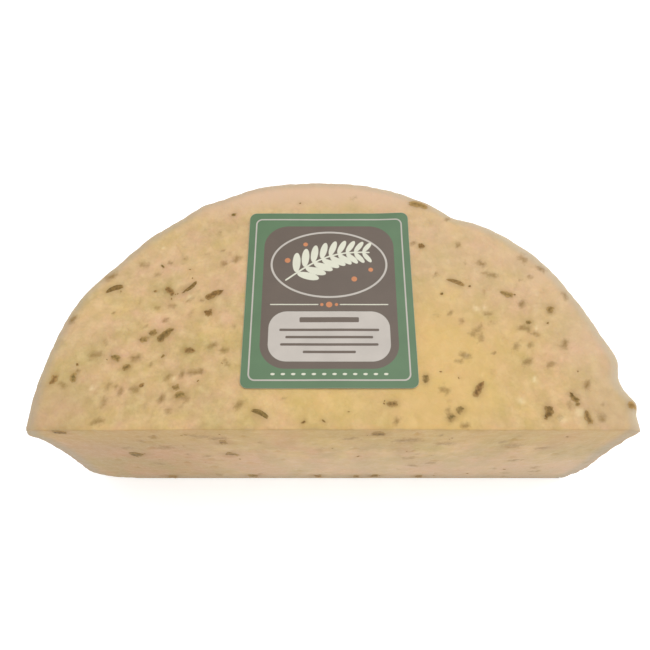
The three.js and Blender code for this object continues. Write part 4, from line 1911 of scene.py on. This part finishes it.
@dataclass
class LabelPrint:
    """The label's printed design, as signed distances in millimetres, below 0 inside.

    Across runs to the right and up runs to the label's far edge, both from its middle. A box below
    is its middle, half its width and height, and its corners' radius, and an oval is the same
    without corners. A bar is its middle up, and half its width and height, and a dot is its middle
    and its radius. A leaf's place out from the stem, and half its length and width, are shares of
    its size, which falls towards the tip.
    """

    across: Array
    up: Array

    FRAME = (0, 0, 31.4, 37.3, 2.5)
    FRAME_LINE = 0.3
    GROUND = (0, 0.6, 27.6, 33.2, 10.5)
    RING = (0, 14.8, 24.2, 15.8)
    RING_LINE = 0.45
    PANEL = (0, -18.6, 24.4, 11.0, 7.5)
    BARS = (
        (-11.4, 12.0, 1.15),
        (-15.9, 20.0, 0.55),
        (-19.1, 17.5, 0.55),
        (-22.3, 19.5, 0.55),
        (-25.5, 10.5, 0.55),
    )
    BAR_CORNER = 0.4
    STEM_FOOT = (-18.0, 7.0)
    STEM_REACH = (35.0, 13.5)
    STEM_BOW = 4.5
    STEM_STEPS = 10
    STEM_WIDTH = 0.7
    LEAF_PAIRS = 9
    FIRST_LEAF = 0.12
    LEAF_STEP = 0.1
    LEAF_SIZE = 5.83
    LEAF_SIZE_FALL = 2.65
    LEAF_SHARES = (0.95, 0.85, 0.3)
    LEAF_AHEAD = 0.05
    LEAF_TURN = 52
    DIVIDER = (-4.5, 4.5, 24.0)
    DIVIDER_WIDTH = 0.5
    FOOT_DOTS = range(-22, 23, 4)
    FOOT_DOT = (-34.8, 0.9, 0.45)
    ORANGE_DOTS = (
        (-17.5, 16.5, 1.2),
        (10.5, 7.5, 1.2),
        (17.5, 12.0, 1.0),
        (-10.0, 24.5, 1.0),
        (0, -4.5, 1.3),
        (-3, -4.5, 0.7),
        (3, -4.5, 0.7),
    )

    def fields(self) -> dict[str, Array]:
        """Draws the whole design.

        Returns:
            The distance to each ink's field, by the name of its attribute.
        """
        pale = self.pale_fields()
        return {
            "print_pale_fields": pale,
            "print_dark_fields": self.dark_fields(pale),
            "print_white_lines": self.white_lines(),
            "print_orange": np.minimum.reduce([self.oval(x, y, r, r) for x, y, r in self.ORANGE_DOTS]),
        }

    def pale_fields(self) -> Array:
        """Draws the frame line, the oval's ring and the lower panel.

        Returns:
            The distance to them.
        """
        frame = np.abs(self.box(*self.FRAME)) - self.FRAME_LINE
        ring = np.abs(self.oval(*self.RING)) - self.RING_LINE
        return np.minimum.reduce([frame, ring, self.box(*self.PANEL)])

    def dark_fields(self, pale: Array) -> Array:
        """Draws the ground behind the ring and the panel, and the panel's plain bars.

        Args:
            pale: The distance to the pale fields, which the ground leaves free.

        Returns:
            The distance to them.
        """
        ground = np.maximum(self.box(*self.GROUND), -pale)
        bars = [self.box(0, y, width, height, self.BAR_CORNER) for y, width, height in self.BARS]
        return np.minimum.reduce([ground, *bars])

    def sprig_spot(self, share: float) -> tuple[float, float]:
        """Gives a spot on the sprig's curved stem.

        Args:
            share: How far up the stem it lies, from 0 at its foot to 1 at its tip.

        Returns:
            The spot across and up.
        """
        foot_x, foot_y = self.STEM_FOOT
        reach_x, reach_y = self.STEM_REACH
        bow = self.STEM_BOW * math.sin(math.pi * share)
        return foot_x + reach_x * share, foot_y + reach_y * share + bow

    def white_lines(self) -> Array:
        """Draws the herb sprig, the divider between the oval and the panel, and the foot's dots.

        Returns:
            The distance to them.
        """
        spots = [self.sprig_spot(step / self.STEM_STEPS) for step in range(self.STEM_STEPS + 1)]
        shapes = [self.stroke(start, end, self.STEM_WIDTH) for start, end in zip(spots, spots[1:])]
        for pair in range(self.LEAF_PAIRS):
            shapes += self.leaf_pair(self.FIRST_LEAF + self.LEAF_STEP * pair)
        y, inner, outer = self.DIVIDER
        for side in (-1, 1):
            shapes.append(self.stroke((side * inner, y), (side * outer, y), self.DIVIDER_WIDTH))
        shapes += [self.oval(x, *self.FOOT_DOT) for x in self.FOOT_DOTS]
        return np.minimum.reduce(shapes)

    def leaf_pair(self, share: float) -> list[Array]:
        """Draws the two leaves at one spot of the sprig's stem.

        Args:
            share: How far up the stem they grow.

        Returns:
            The distance to each.
        """
        x, y = self.sprig_spot(share)
        ahead_x, ahead_y = self.sprig_spot(share + self.LEAF_AHEAD)
        stem_turn = math.degrees(math.atan2(ahead_y - y, ahead_x - x))
        size = self.LEAF_SIZE - self.LEAF_SIZE_FALL * share
        out, half_length, half_width = (size * part for part in self.LEAF_SHARES)
        leaves = []
        for side in (-1, 1):
            turn = stem_turn + side * self.LEAF_TURN
            middle_x = x + out * math.cos(math.radians(turn))
            middle_y = y + out * math.sin(math.radians(turn))
            leaves.append(self.oval(middle_x, middle_y, half_length, half_width, turn))
        return leaves

    def box(self, x: float, y: float, half_width: float, half_height: float, corner: float) -> Array:
        """Gives the distance to a box with round corners.

        Args:
            x: Its middle across.
            y: Its middle up.
            half_width: Half its width.
            half_height: Half its height.
            corner: Its corners' radius.

        Returns:
            The distance.
        """
        out_x = np.abs(self.across - x) - half_width + corner
        out_y = np.abs(self.up - y) - half_height + corner
        outside = np.hypot(np.maximum(out_x, 0), np.maximum(out_y, 0))
        return outside + np.minimum(np.maximum(out_x, out_y), 0) - corner

    def oval(self, x: float, y: float, half_width: float, half_height: float, turn: float = 0) -> Array:
        """Gives about the distance to an oval.

        Args:
            x: Its middle across.
            y: Its middle up.
            half_width: Half its width.
            half_height: Half its height.
            turn: Its turn in degrees.

        Returns:
            The distance.
        """
        cosine, sine = math.cos(math.radians(turn)), math.sin(math.radians(turn))
        along = (self.across - x) * cosine + (self.up - y) * sine
        aside = (self.up - y) * cosine - (self.across - x) * sine
        reach = np.hypot(along / half_width, aside / half_height)
        slope = np.hypot(along / half_width**2, aside / half_height**2) / np.maximum(reach, 1e-6)
        return (reach - 1) / np.maximum(slope, 1e-3)

    def stroke(self, start: tuple[float, float], end: tuple[float, float], width: float) -> Array:
        """Gives the distance to a straight stroke with round ends.

        Args:
            start: One end.
            end: The other end.
            width: The stroke's width.

        Returns:
            The distance.
        """
        way_x, way_y = end[0] - start[0], end[1] - start[1]
        from_x, from_y = self.across - start[0], self.up - start[1]
        share = np.clip((from_x * way_x + from_y * way_y) / (way_x**2 + way_y**2), 0, 1)
        return np.hypot(from_x - share * way_x, from_y - share * way_y) - width / 2


@dataclass
class PaperLabel:
    """The label: a sheet of coated paper, stuck down by hand, that follows the cheese under it."""

    form: WheelForm
    width: float = 68.9
    length: float = 81.2
    aside: float = 0.3
    corner: float = 3.0
    thickness: float = 0.22
    grid_step: float = 0.42
    gap: float = 0.06
    ripple_height: float = 0.16
    ripple_size: float = 17.0
    corner_lift: float = 0.7
    lifted_corner: Fade = Fade(15.0, 0.0)
    bare_edge: float = 0.03
    smooth_below: float = 40.0

    def build(self) -> Piece:
        """Models the sheet and stores its print.

        Returns:
            The label.
        """
        form = self.form
        middle_x = form.axis_x + form.patch_x + self.aside
        middle_y = form.axis_y + form.patch_from_cut
        level = form.height + self.gap + self.thickness
        begin()
        bpy.ops.mesh.primitive_grid_add(
            x_subdivisions=round(self.width / self.grid_step),
            y_subdivisions=round(self.length / self.grid_step),
            size=1,
            location=(middle_x * MM, middle_y * MM, level * MM),
        )
        piece = named_primitive("paper_label")
        piece.scale = (self.width * MM, self.length * MM, 1)
        settle(piece)
        points = read_vectors(piece, "co") / MM
        across = points[:, 0] - middle_x
        up = points[:, 1] - middle_y
        self.round_corners(across, up)
        points[:, 0] = middle_x + across
        points[:, 1] = middle_y + up
        points[:, 2] += self.lift(points, across, up)
        write_points(piece, points)
        design = LabelPrint(across, up)
        for name, distance in design.fields().items():
            write_attribute(piece, name, distance)
        to_edge = design.box(0, 0, self.width / 2, self.length / 2, self.corner)
        write_attribute(piece, "cut_edge", np.abs(to_edge) - self.bare_edge)
        finish_modifier(piece, "SOLIDIFY", thickness=self.thickness * MM, offset=-1.0)
        bpy.ops.object.shade_smooth_by_angle(angle=math.radians(self.smooth_below))
        return piece

    def round_corners(self, across: Array, up: Array) -> None:
        """Draws the grid's corners in to the label's rounded outline.

        Args:
            across: Each point's place across, which is changed.
            up: Each point's place up, which is changed.
        """
        inner_x = self.width / 2 - self.corner
        inner_y = self.length / 2 - self.corner
        past_x = np.abs(across) - inner_x
        past_y = np.abs(up) - inner_y
        in_corner = (past_x > 0) & (past_y > 0)
        longer = np.maximum(past_x, past_y)
        shrink = np.where(in_corner, longer / np.maximum(np.hypot(past_x, past_y), 1e-9), 1.0)
        across[:] = np.where(in_corner, np.sign(across) * (inner_x + past_x * shrink), across)
        up[:] = np.where(in_corner, np.sign(up) * (inner_y + past_y * shrink), up)

    def lift(self, points: Array, across: Array, up: Array) -> Array:
        """Gives how far the sheet stands off its flat patch: low ripples and one loose corner.

        Args:
            points: The sheet's points.
            across: Their places across from its middle.
            up: Their places up from its middle.

        Returns:
            The height at each.
        """
        ripple = self.ripple_height * (1 + noise_at(points, self.ripple_size, shift=2.0))
        to_corner = np.hypot(across - self.width / 2, up - self.length / 2)
        return ripple + self.corner_lift * self.lifted_corner.at(to_corner)

    def dress(self, piece: Piece) -> None:
        """Gives the label its material and its place in the model.

        Args:
            piece: The label.
        """
        piece.data.materials.clear()
        piece.data.materials.append(PrintedPaper().make())
        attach(piece, "root")
        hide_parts("label")


@dataclass
class Studio:
    """The pale floor, the soft light and the camera."""

    form: WheelForm
    floor_size: float = 6000.0
    floor_colour: str = "f0f0f0"
    floor_glow: float = 0.35
    white: tuple[float, float, float, float] = (1, 1, 1, 1)
    wall_to_sky: Ramp = Ramp(0.25, 0.4, 1.0, 0.5, smooth=True)
    sun_strength: float = 2.1
    sun_softness: float = 70.0
    sun_tilt: tuple[float, float] = (-8.0, 16.0)
    front_place: tuple[float, float, float] = (420, -600, 240)
    front_size: float = 400.0
    front_power: float = 0.2
    lens: float = 33.8
    sensor: float = 36.0
    camera_aside: float = -2.4
    camera_before_cut: float = 62.7
    camera_above_top: float = 221.7
    camera_pitch: float = 64.5
    nearest_seen: float = 10.0

    def build(self) -> None:
        """Sets everything up."""
        self.floor()
        self.sky()
        self.key_light()
        self.front_light()
        self.camera()
        bpy.context.scene.view_settings.view_transform = "Standard"

    def floor(self) -> None:
        """Lays a plain pale floor that glows a little, as a light table does."""
        begin()
        bpy.ops.mesh.primitive_plane_add(size=self.floor_size * MM)
        piece = named_primitive("floor")
        glow = {"Emission Color": self.white, "Emission Strength": self.floor_glow}
        surface = {"Roughness": 0.9, "Specular IOR Level": 0.1, **glow}
        piece.data.materials.append(Coat("pale_floor", self.floor_colour).finished(surface))

    def sky(self) -> None:
        """Surrounds the scene with soft white light, brightest low down, as white walls give."""
        world = bpy.data.worlds.new("white_room")
        world.use_nodes = True
        tree = world.node_tree
        tree.nodes.clear()
        way = add_node(tree, "TexCoord").outputs["Generated"]
        height = add_node(tree, "SeparateXYZ", {"Vector": way}).outputs["Z"]
        fall = self.wall_to_sky
        strength = add_node(tree, "MapRange", fall.of(height), interpolation_type=fall.curve)
        light = add_node(tree, "Background", {"Color": self.white, "Strength": strength})
        add_node(tree, "OutputWorld", {"Surface": light})
        bpy.context.scene.world = world

    def key_light(self) -> None:
        """Lights everything evenly from overhead, a little from the right."""
        begin()
        bpy.ops.object.light_add(type="SUN", location=(0, 0, 1))
        light = bpy.context.object
        light.name = "key_light"
        light.data.energy = self.sun_strength
        light.data.angle = math.radians(self.sun_softness)
        tilt_x, tilt_y = self.sun_tilt
        light.rotation_euler = (math.radians(tilt_x), math.radians(tilt_y), 0)

    def front_light(self) -> None:
        """Hangs a weak square soft light in front, a little to the right, facing the cheese."""
        begin()
        place = Vector(self.front_place) * MM
        bpy.ops.object.light_add(type="AREA", location=place)
        light = bpy.context.object
        light.name = "front_light"
        light.data.shape = "SQUARE"
        light.data.size = self.front_size * MM
        light.data.energy = self.front_power
        to_cheese = Vector((0, 0, self.form.height * MM / 2)) - place
        light.rotation_euler = to_cheese.to_track_quat("-Z", "Y").to_euler()

    def camera(self) -> None:
        """Stands the camera where the photograph was taken from."""
        form = self.form
        across = form.axis_x + self.camera_aside
        back = form.axis_y - self.camera_before_cut
        level = form.height + self.camera_above_top
        tilt = (math.radians(90 - self.camera_pitch), 0, 0)
        begin()
        bpy.ops.object.camera_add(location=(across * MM, back * MM, level * MM), rotation=tilt)
        camera = bpy.context.object
        camera.data.sensor_width = self.sensor
        camera.data.lens = self.lens
        camera.data.clip_start = self.nearest_seen * MM
        bpy.context.scene.camera = camera


def main() -> None:
    """Builds the studio, the cheese, its herbs and its label, in that order."""
    logging.basicConfig(level=logging.INFO, format="%(name)s: %(message)s")
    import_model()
    form = WheelForm()
    Studio(form).build()

    herbs = HerbPlan(form).all_herbs()
    wheel = HalfWheel(form)
    cheese = wheel.build()
    PasteMarks(form).write(cheese, herbs)
    wheel.dress(cheese)

    bits = HerbBits(form)
    pieces = bits.build(herbs, cheese)
    bits.dress(pieces)

    label = PaperLabel(form)
    sheet = label.build()
    label.dress(sheet)

    for piece in (cheese, *pieces, sheet):
        log.info("%s: %d points", piece.name, len(piece.data.vertices))


if __name__ == "__main__":
    main()
